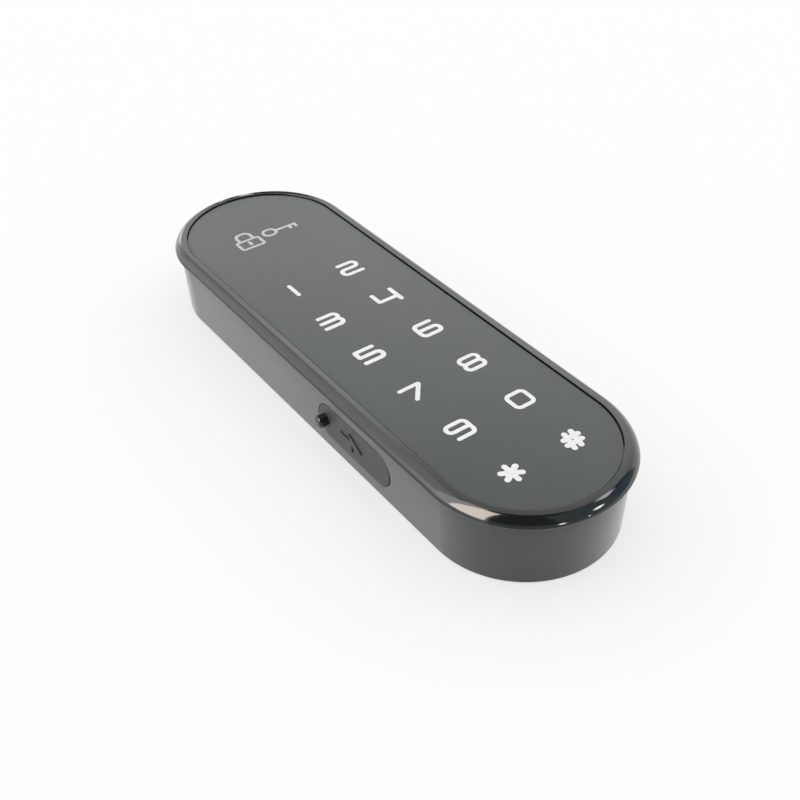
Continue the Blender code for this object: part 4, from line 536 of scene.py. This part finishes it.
def lathe(name, profile, sides, reach=0.0):
    # a profile of (radius, height) is spun round Z, and the two halves are pulled apart along Y
    spoke = math.pi / sides
    points = [Vector((r * math.cos(spoke), r * math.sin(spoke), z)) for r, z in profile]
    piece = tracePath(name, points)
    bpy.ops.mesh.select_all(action="SELECT")
    bpy.ops.mesh.spin(steps=sides, angle=2 * math.pi, center=(0, 0, 0), axis=(0, 0, 1))
    bpy.ops.mesh.select_all(action="SELECT")
    bpy.ops.mesh.remove_doubles(threshold=mergeWithin)
    if reach:
        pick(piece, lambda spot: spot.y > 0)
        bpy.ops.transform.translate(value=(0, reach, 0))
        pick(piece, lambda spot: spot.y < 0)
        bpy.ops.transform.translate(value=(0, -reach, 0))
    bpy.ops.mesh.select_all(action="SELECT")
    bpy.ops.mesh.fill_holes(sides=0)
    bpy.ops.mesh.select_all(action="SELECT")
    bpy.ops.mesh.normals_make_consistent(inside=False)
    leave()
    return piece


def roundedCorner(centre, radius, start, end, steps):
    arc = []
    for step in range(steps + 1):
        angle = math.radians(start + (end - start) * step / steps)
        arc.append((centre[0] + radius * math.cos(angle), centre[1] + radius * math.sin(angle)))
    return arc


def place(piece, matrix):
    piece.data.transform(matrix)
    piece.data.update()


def block(centre, size):
    deselect()
    bpy.ops.mesh.primitive_cube_add(size=1)
    piece = bpy.context.active_object
    place(piece, Matrix.Translation(centre) @ Matrix.Diagonal((*size, 1)))
    return piece


def facingLeft(y, z):
    # turns a piece that stands on Z to point out of the left wall
    return Matrix(((0, 0, -1, 0), (0, 1, 0, y), (1, 0, 0, z), (0, 0, 0, 1)))


def carve(piece, tool, operation="DIFFERENCE"):
    choose(piece)
    modifier = piece.modifiers.new("carve", "BOOLEAN")
    modifier.operation = operation
    modifier.solver = "EXACT"
    modifier.object = tool
    bpy.ops.object.modifier_apply(modifier=modifier.name)
    bpy.data.objects.remove(tool, do_unlink=True)


def soften(piece, width, segments, angle):
    choose(piece)
    modifier = piece.modifiers.new("soften", "BEVEL")
    modifier.width = width
    modifier.segments = segments
    modifier.limit_method = "ANGLE"
    modifier.angle_limit = math.radians(angle)
    bpy.ops.object.modifier_apply(modifier=modifier.name)


def dress(piece, material, angle=smoothAngle):
    choose(piece)
    bpy.ops.object.shade_smooth_by_angle(angle=math.radians(angle))
    piece.data.materials.clear()
    piece.data.materials.append(material)


def finishPiece(piece, material, body, nodes=(), angle=smoothAngle):
    dress(piece, material, angle)
    if nodes:
        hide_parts(*nodes)
    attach(piece, body)


def weighNormals(piece):
    # keeps the large flat faces flat beside small bevels
    choose(piece)
    modifier = piece.modifiers.new("weights", "WEIGHTED_NORMAL")
    modifier.keep_sharp = True
    bpy.ops.object.modifier_apply(modifier=modifier.name)


def joined(name, pieces):
    deselect()
    for piece in pieces:
        piece.select_set(True)
    bpy.context.view_layer.objects.active = pieces[0]
    bpy.ops.object.join()
    result = bpy.context.active_object
    result.name = name
    result.data.name = name
    return result


# The glossy rim

rim = {
    "sides": 144,
    "wellRadius": 18.69 * mm,
    "wellEdge": 0.1 * mm,
    "crease": 0.16 * mm,
    "edgeSteps": 3,
    "slope": 3.35 * mm,
    "slopeStart": 65,
    "slopeEnd": 21,
    "slopeSteps": 10,
    "lowerRound": 0.3 * mm,
    "lowerSteps": 5,
    "height": 2.2 * mm,
    "skirtRadius": 18.0 * mm,
    "skirtInner": 16.8 * mm,
    "deckInner": 14.0 * mm,
    "deckTop": 16.0 * mm,
    "deckBottom": 15.0 * mm,
}


def buildRim():
    radius = rimHigh.x
    top = rimHigh.z
    underside = top - rim["height"]
    profile = [(rim["wellRadius"], rim["deckTop"])]
    edgeCentre = (rim["wellRadius"] + rim["wellEdge"], top - rim["wellEdge"])
    profile += roundedCorner(edgeCentre, rim["wellEdge"], 180, 90, rim["edgeSteps"])
    start = math.radians(rim["slopeStart"])
    end = math.radians(rim["slopeEnd"])
    slopeCentre = (radius - rim["slope"] * math.cos(end), top - rim["slope"] * math.sin(start))
    crease = slopeCentre[0] + rim["slope"] * math.cos(start)
    creaseCentre = (crease - rim["crease"], top - rim["crease"])
    profile += roundedCorner(creaseCentre, rim["crease"], 90, rim["slopeStart"], rim["edgeSteps"])
    profile += roundedCorner(
        slopeCentre, rim["slope"], rim["slopeStart"], rim["slopeEnd"], rim["slopeSteps"],
    )
    lowCentre = (radius - rim["lowerRound"], underside + rim["lowerRound"])
    profile += roundedCorner(lowCentre, rim["lowerRound"], rim["slopeEnd"], -90, rim["lowerSteps"])
    profile += [
        (rim["skirtRadius"], underside),
        (rim["skirtRadius"], rimLow.z),
        (rim["skirtInner"], rimLow.z),
        (rim["skirtInner"], rim["deckBottom"]),
        (rim["deckInner"], rim["deckBottom"]),
        (rim["deckInner"], rim["deckTop"]),
        (rim["wellRadius"], rim["deckTop"]),
    ]
    piece = lathe("rimFrame", profile, rim["sides"], halfStraight)
    finishPiece(piece, rimGloss, "housing", ["bezel_frame"])
    weighNormals(piece)


# The touch panel

panel = {
    "sides": 144,
    "edge": 0.12 * mm,
    "edgeSteps": 3,
    "wider": 0.09 * mm,  # than the CAD's, at its edge
    "lower": 0.18 * mm,  # than the CAD's face
}
panelTop = panelHigh.z - panel["lower"]


def buildPanel():
    radius = panelHigh.x + panel["wider"]
    edge = panel["edge"]
    profile = [(radius, panelLow.z)]
    profile += roundedCorner((radius - edge, panelTop - edge), edge, 0, 90, panel["edgeSteps"])
    piece = lathe("panelSheet", profile, panel["sides"], halfStraight)
    finishPiece(piece, panelSatin, "housing", ["touch_panel"])
    weighNormals(piece)


# The matte case with the port's pocket

port = {
    "centreY": -19.884 * mm,
    "centreZ": 7.5 * mm,
    "length": 25.6 * mm,
    "height": 8.7 * mm,
    "depth": 2.1 * mm,
    "sides": 64,
    "mouthEdge": 0.1 * mm,
    "mouthSteps": 2,
    "mouthAngle": 60,
    "overrun": 3 * mm,
    "opening": 9.6 * mm,
    "openingHeight": 4.6 * mm,
    "openingOverrun": 1 * mm,
    "floorWall": 2.0 * mm,
}
case = {
    "sides": 144,
    "inner": 18.3 * mm,
    "taper": 0.4 * mm,
    "footEdge": 0.4 * mm,
    "topEdge": 0.1 * mm,
    "insertSides": 48,
    "insertBoss": 3.9 * mm,
    "insertBore": 3.1 * mm,
    "insertTop": 12.8 * mm,
    "insertDepth": 9.2 * mm,
    "rib": 1.6 * mm,
    "ribStart": 3.5 * mm,
    "ribMiddle": 7.2 * mm,
    "ribHeight": 9.7 * mm,
    "padInner": 16.2 * mm,
    "padBefore": 1.2 * mm,
    "padAfter": 3 * mm,
    "padBottom": 2.4 * mm,
    "padTop": 12.2 * mm,
    "sunk": 0.5 * mm,  # how far the pad and the ribs reach into the wall
}


def slotBlock(name, length, height, low, high, centre, sides, edge=0.0):
    # a block with half-round ends, its length along Y and its thickness along X from low to high
    radius = height / 2
    profile = [(radius, low)]
    if edge:
        profile += roundedCorner((radius - edge, high - edge), edge, 0, 90, edgeSteps)
    else:
        profile.append((radius, high))
    piece = lathe(name, profile, sides, length / 2 - radius)
    place(piece, facingLeft(*centre))
    return piece


def addPad(piece):
    # the thicker wall behind the port
    start = port["centreY"] - port["length"] / 2 - case["padBefore"]
    end = port["centreY"] + port["length"] / 2 + case["padAfter"]
    low = Vector((-case["inner"] - case["sunk"], start, case["padBottom"]))
    high = Vector((-case["padInner"], end, case["padTop"]))
    carve(piece, block((low + high) / 2, high - low), "UNION")


def addInsert(piece, node, side):
    # the boss round a threaded insert, and the rib that ties it to the wall on that side
    low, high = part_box(node)
    middle = (low.y + high.y) / 2
    start = middle + side * case["ribStart"]
    end = side * (halfStraight + case["inner"] + case["sunk"])
    size = (case["rib"], abs(end - start), case["ribHeight"])
    carve(piece, block((0, (start + end) / 2, case["ribMiddle"]), size), "UNION")
    profile = [
        (case["insertBore"], 0), (case["insertBoss"], 0), (case["insertBoss"], case["insertTop"]),
        (0, case["insertTop"]), (0, case["insertDepth"]), (case["insertBore"], case["insertDepth"]),
        (case["insertBore"], 0),
    ]
    boss = lathe("boss", profile, case["insertSides"])
    place(boss, Matrix.Translation((0, middle, 0)))
    carve(piece, boss, "UNION")


def cutPort(piece):
    centre = (port["centreY"], port["centreZ"])
    sides = port["sides"]
    wallX = shellHigh.x - case["taper"] / 2
    low = wallX - port["depth"]
    high = wallX + port["overrun"]
    carve(piece, slotBlock("pocket", port["length"], port["height"], low, high, centre, sides))
    soften(piece, port["mouthEdge"], port["mouthSteps"], port["mouthAngle"])
    high = low + port["openingOverrun"]
    low = low - port["floorWall"] - port["openingOverrun"]
    length, height = port["opening"], port["openingHeight"]
    carve(piece, slotBlock("opening", length, height, low, high, centre, sides))


def buildCase():
    wide = shellHigh.x
    top = shellHigh.z
    footCentre = (wide - case["taper"] - case["footEdge"], case["footEdge"])
    profile = [(case["inner"], top), (wide - case["topEdge"], top), (wide, top - case["topEdge"])]
    profile += roundedCorner(footCentre, case["footEdge"], 0, -90, edgeSteps)
    profile += [(case["inner"], 0), (case["inner"], top)]
    piece = lathe("caseBody", profile, case["sides"], halfStraight)
    addPad(piece)
    addInsert(piece, "mounting_insert_1", 1)
    addInsert(piece, "mounting_insert_2", -1)
    cutPort(piece)
    finishPiece(piece, casePlastic, "housing", ["body_shell"])
    weighNormals(piece)


# The port's rubber flap, one piece from its fixed end to its free end, and its pull

flap = {
    "gap": 0.25 * mm,
    "outer": 0.68 * mm,  # past the CAD's face
    "edge": 0.1 * mm,
    "sides": 64,
    "plugSides": 48,
    "plugLength": 8.8 * mm,
    "plugHeight": 3.8 * mm,
    "plugDepth": 1.6 * mm,
    "plugSunk": 0.5 * mm,
    "boltLength": 7.6 * mm,
    "boltHeight": 4.4 * mm,
    "boltOffset": 0.5 * mm,
    "boltRaised": 0.28 * mm,
    "boltSunk": 0.3 * mm,
    "foldBefore": 0.6 * mm,
    "foldAfter": 1.4 * mm,
    "foldSteps": 8,
}
# corners of the bolt in shares of its length and height
boltShares = [(-0.5, -0.14), (0.06, 0.5), (0.02, 0.12), (0.5, 0.14), (-0.06, -0.5), (-0.02, -0.12)]


def scoreAcross(piece, y):
    # adds an edge loop across the piece's length, in the band where the rubber flap folds
    edit(piece)
    bpy.ops.mesh.select_all(action="SELECT")
    bpy.ops.mesh.bisect(plane_co=(0, y, 0), plane_no=(0, 1, 0))
    leave()


def buildBolt(faceX):
    points = []
    for along, up in boltShares:
        y = port["centreY"] + flap["boltOffset"] + along * flap["boltLength"]
        z = port["centreZ"] + up * flap["boltHeight"]
        points.append(Vector((faceX + flap["boltSunk"], y, z)))
    piece = tracePath("bolt", points)
    bpy.ops.mesh.select_all(action="SELECT")
    bpy.ops.mesh.edge_face_add()
    outwards = (-flap["boltSunk"] - flap["boltRaised"], 0, 0)
    bpy.ops.mesh.extrude_region_move(TRANSFORM_OT_translate={"value": outwards})
    bpy.ops.mesh.select_all(action="SELECT")
    bpy.ops.mesh.normals_make_consistent(inside=False)
    leave()
    return piece


def buildFlap():
    centre = (port["centreY"], port["centreZ"])
    length = port["length"] - 2 * flap["gap"]
    height = port["height"] - 2 * flap["gap"]
    backX = -anchorHigh.x
    faceX = flap["outer"] - anchorLow.x
    hingeY = (coverLow.y + anchorHigh.y) / 2
    foldStart = hingeY - flap["foldBefore"]
    foldEnd = hingeY + flap["foldAfter"]
    piece = slotBlock("portFlap", length, height, backX, faceX, centre, flap["sides"], flap["edge"])
    for step in range(flap["foldSteps"] + 1):
        scoreAcross(piece, foldStart + (foldEnd - foldStart) * step / flap["foldSteps"])
    plugBlock = slotBlock(
        "plug", flap["plugLength"], flap["plugHeight"], backX - flap["plugDepth"],
        backX + flap["plugSunk"], centre, flap["plugSides"],
    )
    carve(piece, plugBlock, "UNION")
    carve(piece, buildBolt(-faceX), "UNION")
    dress(piece, flapRubber)
    weighNormals(piece)
    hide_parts("port_cover", "port_anchor")
    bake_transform(piece)


pull = {
    "sides": 40,
    "radius": 1.42 * mm,
    "stem": 1.0 * mm,
    "sunk": 1.0 * mm,
    "gap": 0.1 * mm,
    "neck": 0.3 * mm,
    "round": 0.6 * mm,
    "roundSteps": 6,
    "longer": 0.5 * mm,  # than the CAD's
}


def buildPull():
    faceX = flap["outer"] - anchorLow.x
    tip = pull["longer"] - pegLow.x
    y = (pegLow.y + pegHigh.y) / 2
    z = (pegLow.z + pegHigh.z) / 2
    root = faceX - pull["sunk"]
    under = faceX + pull["gap"]
    profile = [(0, root), (pull["stem"], root), (pull["stem"], under)]
    profile += [(pull["radius"] - pull["neck"] / 2, under), (pull["radius"], faceX + pull["neck"])]
    roundCentre = (pull["radius"] - pull["round"], tip - pull["round"])
    profile += roundedCorner(roundCentre, pull["round"], 0, 90, pull["roundSteps"])
    profile.append((0, tip))
    piece = lathe("pullPeg", profile, pull["sides"])
    place(piece, facingLeft(y, z))
    finishPiece(piece, pegGloss, "port_cover_body", ["cover_pull"])


# White marks printed on the panel

ink = {
    "stroke": 1.03 * mm,
    "fullStroke": 1.12 * mm,
    "wideStroke": 1.24 * mm,
    "height": 0.05 * mm,
    "sunk": 0.007 * mm,
    "layer": 0.1 * mm,  # between crossing strokes, before they are pressed flat
    "corner": 1.0 * mm,
    "cornerSteps": 6,
    "cornerRoom": 0.49,
    "tubeSteps": 4,
    "ballSides": 24,
    "ballRings": 12,
    "smoothAngle": 60,
    "rowPitch": 14.953 * mm,
    "columnPitch": 14.953 * mm,
    "columnMiddle": -0.16 * mm,
    "lowestRow": -53.12 * mm,
}
# each mark's width, height and stroke
markSizes = {
    "one": (5.8 * mm, 5.25 * mm, ink["stroke"]),
    "two": (5.85 * mm, 5.4 * mm, ink["fullStroke"]),
    "three": (5.8 * mm, 5.3 * mm, ink["fullStroke"]),
    "four": (6.15 * mm, 5.6 * mm, ink["fullStroke"]),
    "five": (6.0 * mm, 5.35 * mm, ink["fullStroke"]),
    "six": (5.95 * mm, 5.35 * mm, ink["fullStroke"]),
    "seven": (5.8 * mm, 5.3 * mm, ink["stroke"]),
    "eight": (5.75 * mm, 5.15 * mm, ink["stroke"]),
    "nine": (5.75 * mm, 5.15 * mm, ink["stroke"]),
    "zero": (5.85 * mm, 5.2 * mm, ink["stroke"]),
    "star": (5.8 * mm, 5.2 * mm, ink["wideStroke"]),
    "hash": (5.72 * mm, 5.15 * mm, ink["wideStroke"]),
}
# strokes in shares of half the width and half the height, each with its corner as a share of the
# ink's and whether it closes on itself
keyShapes = {
    "one": [([(0, 1), (0, -1)], 1, False)],
    "two": [([(-0.78, 1), (1, 1), (1, 0.02), (-1, 0.02), (-1, -1), (0.95, -1)], 1, False)],
    "three": [
        ([(-0.78, 1), (1, 1), (1, 0), (-0.95, 0)], 1, False),
        ([(-0.6, 0), (1, 0), (1, -1), (-0.95, -1)], 1, False),
    ],
    "four": [
        ([(-1, 1), (-1, -0.36), (0.8, -0.36)], 0.25, False),
        ([(0.92, 1), (0.92, -1)], 1, False),
    ],
    "five": [
        ([(0.74, 1), (-1, 1), (-1, 0.02), (0, 0.02)], 0.2, False),
        ([(-0.2, 0.02), (1, 0.02), (1, -1), (-0.95, -1)], 1, False),
    ],
    "six": [([(0.74, 1), (-1, 1), (-1, -1), (1, -1), (1, 0.02), (-0.9, 0.02)], 1, False)],
    "seven": [([(-1.02, 0.56), (0.94, 0.58), (-0.39, -1.27)], 0.12, False)],
    "eight": [
        ([(-0.95, 1), (0.95, 1), (0.95, 0), (-0.95, 0)], 1, True),
        ([(-0.95, 0), (0.95, 0), (0.95, -1), (-0.95, -1)], 1, True),
    ],
    "nine": [([(-0.74, -1), (1, -1), (1, 1), (-1, 1), (-1, 0.02), (0.9, 0.02)], 1, False)],
    "zero": [([(-0.9, 1), (0.9, 1), (0.9, -1), (-0.9, -1)], 1, True)],
    "star": [
        ([(0, 1), (0, -1)], 1, False),
        ([(-0.76, 0.5), (0.76, -0.5)], 1, False),
        ([(-0.76, -0.5), (0.76, 0.5)], 1, False),
    ],
    "hash": [
        ([(-0.15, 1), (-0.58, -1)], 1, False),
        ([(0.58, 1), (0.15, -1)], 1, False),
        ([(-0.72, 0.38), (0.86, 0.38)], 1, False),
        ([(-0.86, -0.38), (0.72, -0.38)], 1, False),
    ],
}
# rows from the padlock's end, each with its left and right mark
keyOrder = [
    ("one", "two"), ("three", "four"), ("five", "six"),
    ("seven", "eight"), ("nine", "zero"), ("star", "hash"),
]


def roundPath(points, radius, closed):
    # rounds each corner of a path with an arc that touches both of its sides
    count = len(points)
    result = []
    for index, corner in enumerate(points):
        if not closed and index in (0, count - 1):
            result.append(corner)
            continue
        before = points[index - 1] - corner
        after = points[(index + 1) % count] - corner
        half = before.angle(after) / 2
        room = ink["cornerRoom"] * min(before.length, after.length)
        trim = min(radius / math.tan(half), room)
        turn = trim * math.tan(half)
        bisector = (before.normalized() + after.normalized()).normalized()
        centre = corner + bisector * math.hypot(trim, turn)
        first = corner + before.normalized() * trim - centre
        last = corner + after.normalized() * trim - centre
        sweep = first.angle(last)
        for step in range(ink["cornerSteps"] + 1):
            share = step / ink["cornerSteps"]
            spun = first * math.sin((1 - share) * sweep) + last * math.sin(share * sweep)
            result.append(centre + spun / math.sin(sweep))
    return result


def inkStroke(points, closed, width):
    # a round tube along the path with balls at its open ends, later pressed flat
    path = points + [points[0]] if closed else points
    piece = tracePath("stroke", path)
    if closed:
        bpy.ops.mesh.select_all(action="SELECT")
        bpy.ops.mesh.remove_doubles(threshold=mergeWithin)
    leave()
    bpy.ops.object.convert(target="CURVE")
    tube = bpy.context.active_object
    tube.data.bevel_depth = width / 2
    tube.data.bevel_resolution = ink["tubeSteps"]
    tube.data.use_fill_caps = not closed
    bpy.ops.object.convert(target="MESH")
    pieces = [bpy.context.active_object]
    if not closed:
        for end in (points[0], points[-1]):
            deselect()
            bpy.ops.mesh.primitive_uv_sphere_add(
                segments=ink["ballSides"], ring_count=ink["ballRings"],
                radius=width / 2, location=end,
            )
            bpy.ops.object.transform_apply(location=True, rotation=False, scale=False)
            pieces.append(bpy.context.active_object)
    return joined("stroke", pieces)


def pressFlat(piece, centre):
    squash = Matrix.Diagonal((1, 1, ink["height"] / ink["stroke"], 1))
    place(piece, Matrix.Translation((centre[0], centre[1], panelTop - ink["sunk"])) @ squash)


def buildMark(name, strokes, centre, size, corner, finish):
    width, height, thickness = size
    halfWidth = (width - thickness) / 2
    halfHeight = (height - thickness) / 2
    made = []
    for index, (shares, cornerShare, closed) in enumerate(strokes):
        points = [Vector((x * halfWidth, y * halfHeight, 0)) for x, y in shares]
        stroke = inkStroke(roundPath(points, corner * cornerShare, closed), closed, thickness)
        place(stroke, Matrix.Translation((0, 0, index * ink["layer"])))
        made.append(stroke)
    piece = joined(name, made)
    pressFlat(piece, centre)
    finishPiece(piece, finish, "housing", angle=ink["smoothAngle"])
    weighNormals(piece)


def buildKeyMarks():
    for row, names in enumerate(keyOrder):
        y = ink["lowestRow"] + (len(keyOrder) - 1 - row) * ink["rowPitch"]
        for side, name in zip((-1, 1), names):
            centre = (ink["columnMiddle"] + side * ink["columnPitch"] / 2, y)
            size = markSizes[name]
            buildMark("mark_" + name, keyShapes[name], centre, size, ink["corner"], keyInk)


# A plain padlock and key at the top of the panel

pictogram = {
    "centreX": -0.27 * mm,
    "centreY": 46.88 * mm,
    "corner": 0.9 * mm,
    "lockX": -4.9 * mm,
    "lockSize": (6.6 * mm, 7.6 * mm, 0.8 * mm),
    "keyX": 3.9 * mm,
    "keySize": (9.4 * mm, 3.6 * mm, 0.8 * mm),
}
padlockStrokes = [
    ([(-1, 0.05), (1, 0.05), (1, -1), (-1, -1)], 0.5, True),
    ([(-0.62, 0.05), (-0.62, 1), (0.62, 1), (0.62, 0.05)], 1.6, False),
    ([(0, -0.3), (0, -0.62)], 1, False),
]
keyStrokes = [
    ([(-1, 1), (-0.24, 1), (-0.24, -1), (-1, -1)], 2.0, True),
    ([(-0.24, 0), (1, 0)], 1, False),
    ([(0.62, 0), (0.62, -0.85)], 1, False),
    ([(0.98, 0), (0.98, -0.85)], 1, False),
]


def buildPictogram():
    for name, strokes, x, size in (
        ("padlockMark", padlockStrokes, pictogram["lockX"], pictogram["lockSize"]),
        ("keyMark", keyStrokes, pictogram["keyX"], pictogram["keySize"]),
    ):
        centre = (pictogram["centreX"] + x, pictogram["centreY"])
        buildMark(name, strokes, centre, size, pictogram["corner"], fadedInk)


# Cross-headed screws on the back

screw = {
    "sides": 40,
    "edge": 0.25 * mm,
    "edgeRoom": 0.05 * mm,
    "crossWidth": 0.42 * mm,
    "crossLength": 1.9 * mm,
    "crossDepth": 0.5 * mm,
    "crossShare": 0.6,
}
screwKinds = {
    "back": {"head": 1.0 * mm, "shank": 0.9 * mm},
    "door": {"head": 0.3 * mm, "shank": 0.7 * mm},
}


def buildScrew(node):
    kind = screwKinds[node.split("_")[0]]
    low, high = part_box(node)
    centre = (low + high) / 2
    radius = (high.x - low.x) / 2
    shank = kind["shank"]
    headTop = low.z + kind["head"]
    edge = min(screw["edge"], headTop - low.z - screw["edgeRoom"])
    profile = [(0, low.z)]
    profile += roundedCorner((radius - edge, low.z + edge), edge, -90, 0, edgeSteps)
    profile += [(radius, headTop), (shank, headTop), (shank, high.z - shank), (0, high.z)]
    piece = lathe("head_" + node, profile, screw["sides"])
    depth = min(screw["crossDepth"], screw["crossShare"] * (headTop - low.z))
    width, length = screw["crossWidth"], screw["crossLength"]
    carve(piece, block((0, 0, low.z), (width, length, 2 * depth)))
    carve(piece, block((0, 0, low.z), (length, width, 2 * depth)))
    place(piece, Matrix.Translation((centre.x, centre.y, 0)))
    finishPiece(piece, steel, "housing", [node])


print("rim, panel and case")
buildRim()
buildPanel()
buildCase()
print("port cover")
buildFlap()
buildPull()
print("marks")
buildKeyMarks()
buildPictogram()
print("screws")
for number in range(1, 7):
    buildScrew("back_screw_" + str(number))
buildScrew("door_screw")


# Camera, floor and sky

# angles in degrees; the target lies at floor level
view = {
    "turn": -34.835,
    "tilt": 39.506,
    "roll": -1.777,
    "distance": 240.133 * mm,
    "targetX": 0.511 * mm,
    "targetY": -6.886 * mm,
    "lens": 48.919,
    "sensor": 36.0,
    "nearest": 10 * mm,
}


def addCamera():
    turn = math.radians(view["turn"])
    tilt = math.radians(view["tilt"])
    roll = math.radians(view["roll"])
    level = math.cos(tilt)
    back = Vector((math.sin(turn) * level, -math.cos(turn) * level, math.sin(tilt)))
    right = (-back).cross(Vector((0, 0, 1))).normalized()
    up = right.cross(-back)
    across = right * math.cos(roll) + up * math.sin(roll)
    upright = up * math.cos(roll) - right * math.sin(roll)
    lens = bpy.data.cameras.new("photoCamera")
    lens.lens = view["lens"]
    lens.sensor_width = view["sensor"]
    lens.clip_start = view["nearest"]
    camera = bpy.data.objects.new("photoCamera", lens)
    bpy.context.scene.collection.objects.link(camera)
    spot = Vector((view["targetX"], view["targetY"], 0)) + back * view["distance"]
    turned = Matrix((across, upright, back)).transposed().to_4x4()
    camera.matrix_world = Matrix.Translation(spot) @ turned
    bpy.context.scene.camera = camera


# the shares say how much plain white the camera and the mirrors see in the floor
stage = {
    "size": 6.0,
    "below": 0.02 * mm,
    "colour": (0.95, 0.95, 0.95),
    "roughness": 0.9,
    "whiteShare": 0.62,
    "mirroredShare": 0.52,
}


def addFloor():
    deselect()
    bpy.ops.mesh.primitive_plane_add(size=stage["size"], location=(0, 0, -stage["below"]))
    floor = bpy.context.active_object
    floor.name = "studioFloor"
    material = bpy.data.materials.new("studioFloor")
    material.use_nodes = True
    tree = material.node_tree
    shader = tree.nodes["Principled BSDF"]
    shader.inputs["Base Color"].default_value = (*stage["colour"], 1)
    shader.inputs["Roughness"].default_value = stage["roughness"]
    shader.inputs["Specular IOR Level"].default_value = 0.0
    rays = tree.nodes.new("ShaderNodeLightPath")
    seen = Wire(tree, rays.outputs["Is Camera Ray"])
    share = seen * stage["whiteShare"]
    share = share + Wire(tree, rays.outputs["Is Transmission Ray"])
    share = share + Wire(tree, rays.outputs["Is Glossy Ray"]) * stage["mirroredShare"]
    glow = seen.node("ShaderNodeEmission", {}, {"Color": (1, 1, 1, 1), "Strength": 1.0})
    matte = Wire(tree, shader.outputs[0])
    mixed = seen.node("ShaderNodeMixShader", {}, {0: share, 1: matte, 2: glow})
    plug(tree, tree.nodes["Material Output"].inputs["Surface"], mixed)
    floor.data.materials.append(material)


# The studio's light. Angles are in degrees, and later patches cover earlier ones
skyTones = {
    "fadeFrom": 0.3,
    "fadeTo": 0.85,
    "low": (1.05, 1.05, 1.05),
    "high": (0.2, 0.2, 0.2),
    "even": (1.12, 1.12, 1.12),
    "seen": (1.0, 1.0, 1.0),
    "spark": (14.0, 14.0, 14.0),
    "sparkCore": 0.6,
}
# middle, half width and soft edge around the room; lowest and highest angle and their fade; colour
mirroredPatches = [
    (45, 75, 12, 28, 88, 8, (0.8, 0.8, 0.8)),
    (71, 53, 9, -30, 45, 5, (1.45, 1.45, 1.43)),
    (52, 22, 9, 33, 42, 3, (1.95, 1.95, 1.93)),
    (86, 15, 5, -6, 20, 4, (2.4, 2.4, 2.4)),
    (34, 18, 6, -10, 22, 4, (1.15, 1.16, 1.18)),
    (108, 16, 6, -10, 60, 8, (1.15, 1.15, 1.14)),
    (140, 28, 8, 0, 62, 5, (1.6, 1.6, 1.58)),
    (154, 15, 6, 6, 76, 8, (3.1, 3.0, 2.9)),
    (275, 76, 3, -30, 20, 5, (0.45, 0.46, 0.47)),
    (275, 76, 3, 14, 90, 5, (0.12, 0.12, 0.12)),
    (292, 33, 6, 14, 68, 5, (0.34, 0.45, 0.45)),
    (333, 15, 4, -4, 38, 6, (0.26, 0.38, 0.5)),
    (331, 9, 3, 38, 54, 4, (4.6, 4.8, 5.0)),
    (180.5, 18, 1.5, 10, 72, 5, (9.4, 8.5, 7.7)),
    (63, 3.2, 0.8, 18, 30.2, 0.7, (0.0, 0.0, 0.0)),
]
# place around the room, height and radius
sparks = [(302, 23, 5.8), (289, 7, 1.7), (264.3, 11, 3.8), (63.8, 28.35, 0.36), (65.2, 28.6, 0.2)]
softPatches = [
    (130, 52, 24, -90, 50, 30, (1.65, 1.65, 1.65)),
    (245, 85, 30, -90, 70, 20, (0.6, 0.6, 0.61)),
    (0, 50, 30, -90, 70, 20, (1.3, 1.3, 1.3)),
]


def inside(value, low, high, soft):
    rising = spread(value, math.radians(low), math.radians(low + soft))
    falling = spread(value, math.radians(high), math.radians(high - soft))
    return rising * falling


def painted(coords, tone, patches):
    x, y, z = pieceOf(coords, "X"), pieceOf(coords, "Y"), pieceOf(coords, "Z")
    lift = coords.node("ShaderNodeMath", {"operation": "ARCSINE"}, {0: z})
    for middle, half, soft, low, high, fade, colour in patches:
        along, across = math.cos(math.radians(middle)), math.sin(math.radians(middle))
        sideways, ahead = y * along - x * across, x * along + y * across
        turn = coords.node("ShaderNodeMath", {"operation": "ARCTAN2"}, {0: sideways, 1: ahead})
        mask = inside(turn, -half, half, soft) * inside(lift, low, high, fade)
        tone = blendColours(mask, tone, colour)
    return tone


def addSky():
    world = bpy.data.worlds.new("studioSky")
    bpy.context.scene.world = world
    world.use_nodes = True
    tree = world.node_tree
    tree.nodes.clear()
    coords = Wire(tree, tree.nodes.new("ShaderNodeTexCoord").outputs["Generated"])
    rays = tree.nodes.new("ShaderNodeLightPath")
    seen = Wire(tree, rays.outputs["Is Camera Ray"])
    mirrored = Wire(tree, rays.outputs["Is Glossy Ray"])
    rise = spread(pieceOf(coords, "Z"), skyTones["fadeFrom"], skyTones["fadeTo"])
    tone = blendColours(rise, skyTones["low"], skyTones["high"])
    tone = painted(coords, tone, mirroredPatches)
    for turn, tilt, radius in sparks:
        turn, tilt = math.radians(turn), math.radians(tilt)
        aim = (math.cos(turn) * math.cos(tilt), math.sin(turn) * math.cos(tilt), math.sin(tilt))
        inputs = {0: coords, 1: aim}
        nearness = coords.node("ShaderNodeVectorMath", {"operation": "DOT_PRODUCT"}, inputs, 1)
        edge = math.cos(math.radians(radius))
        core = math.cos(math.radians(radius * skyTones["sparkCore"]))
        tone = blendColours(spread(nearness, edge, core), tone, skyTones["spark"])
    tone = blendColours(mirrored, painted(coords, skyTones["even"], softPatches), tone)
    tone = blendColours(seen, tone, skyTones["seen"])
    glow = coords.node("ShaderNodeBackground", {}, {"Color": tone, "Strength": 1.0})
    output = tree.nodes.new("ShaderNodeOutputWorld")
    plug(tree, output.inputs["Surface"], glow)


print("camera, floor and sky")
addCamera()
addFloor()
addSky()
bpy.context.scene.view_settings.view_transform = "Standard"
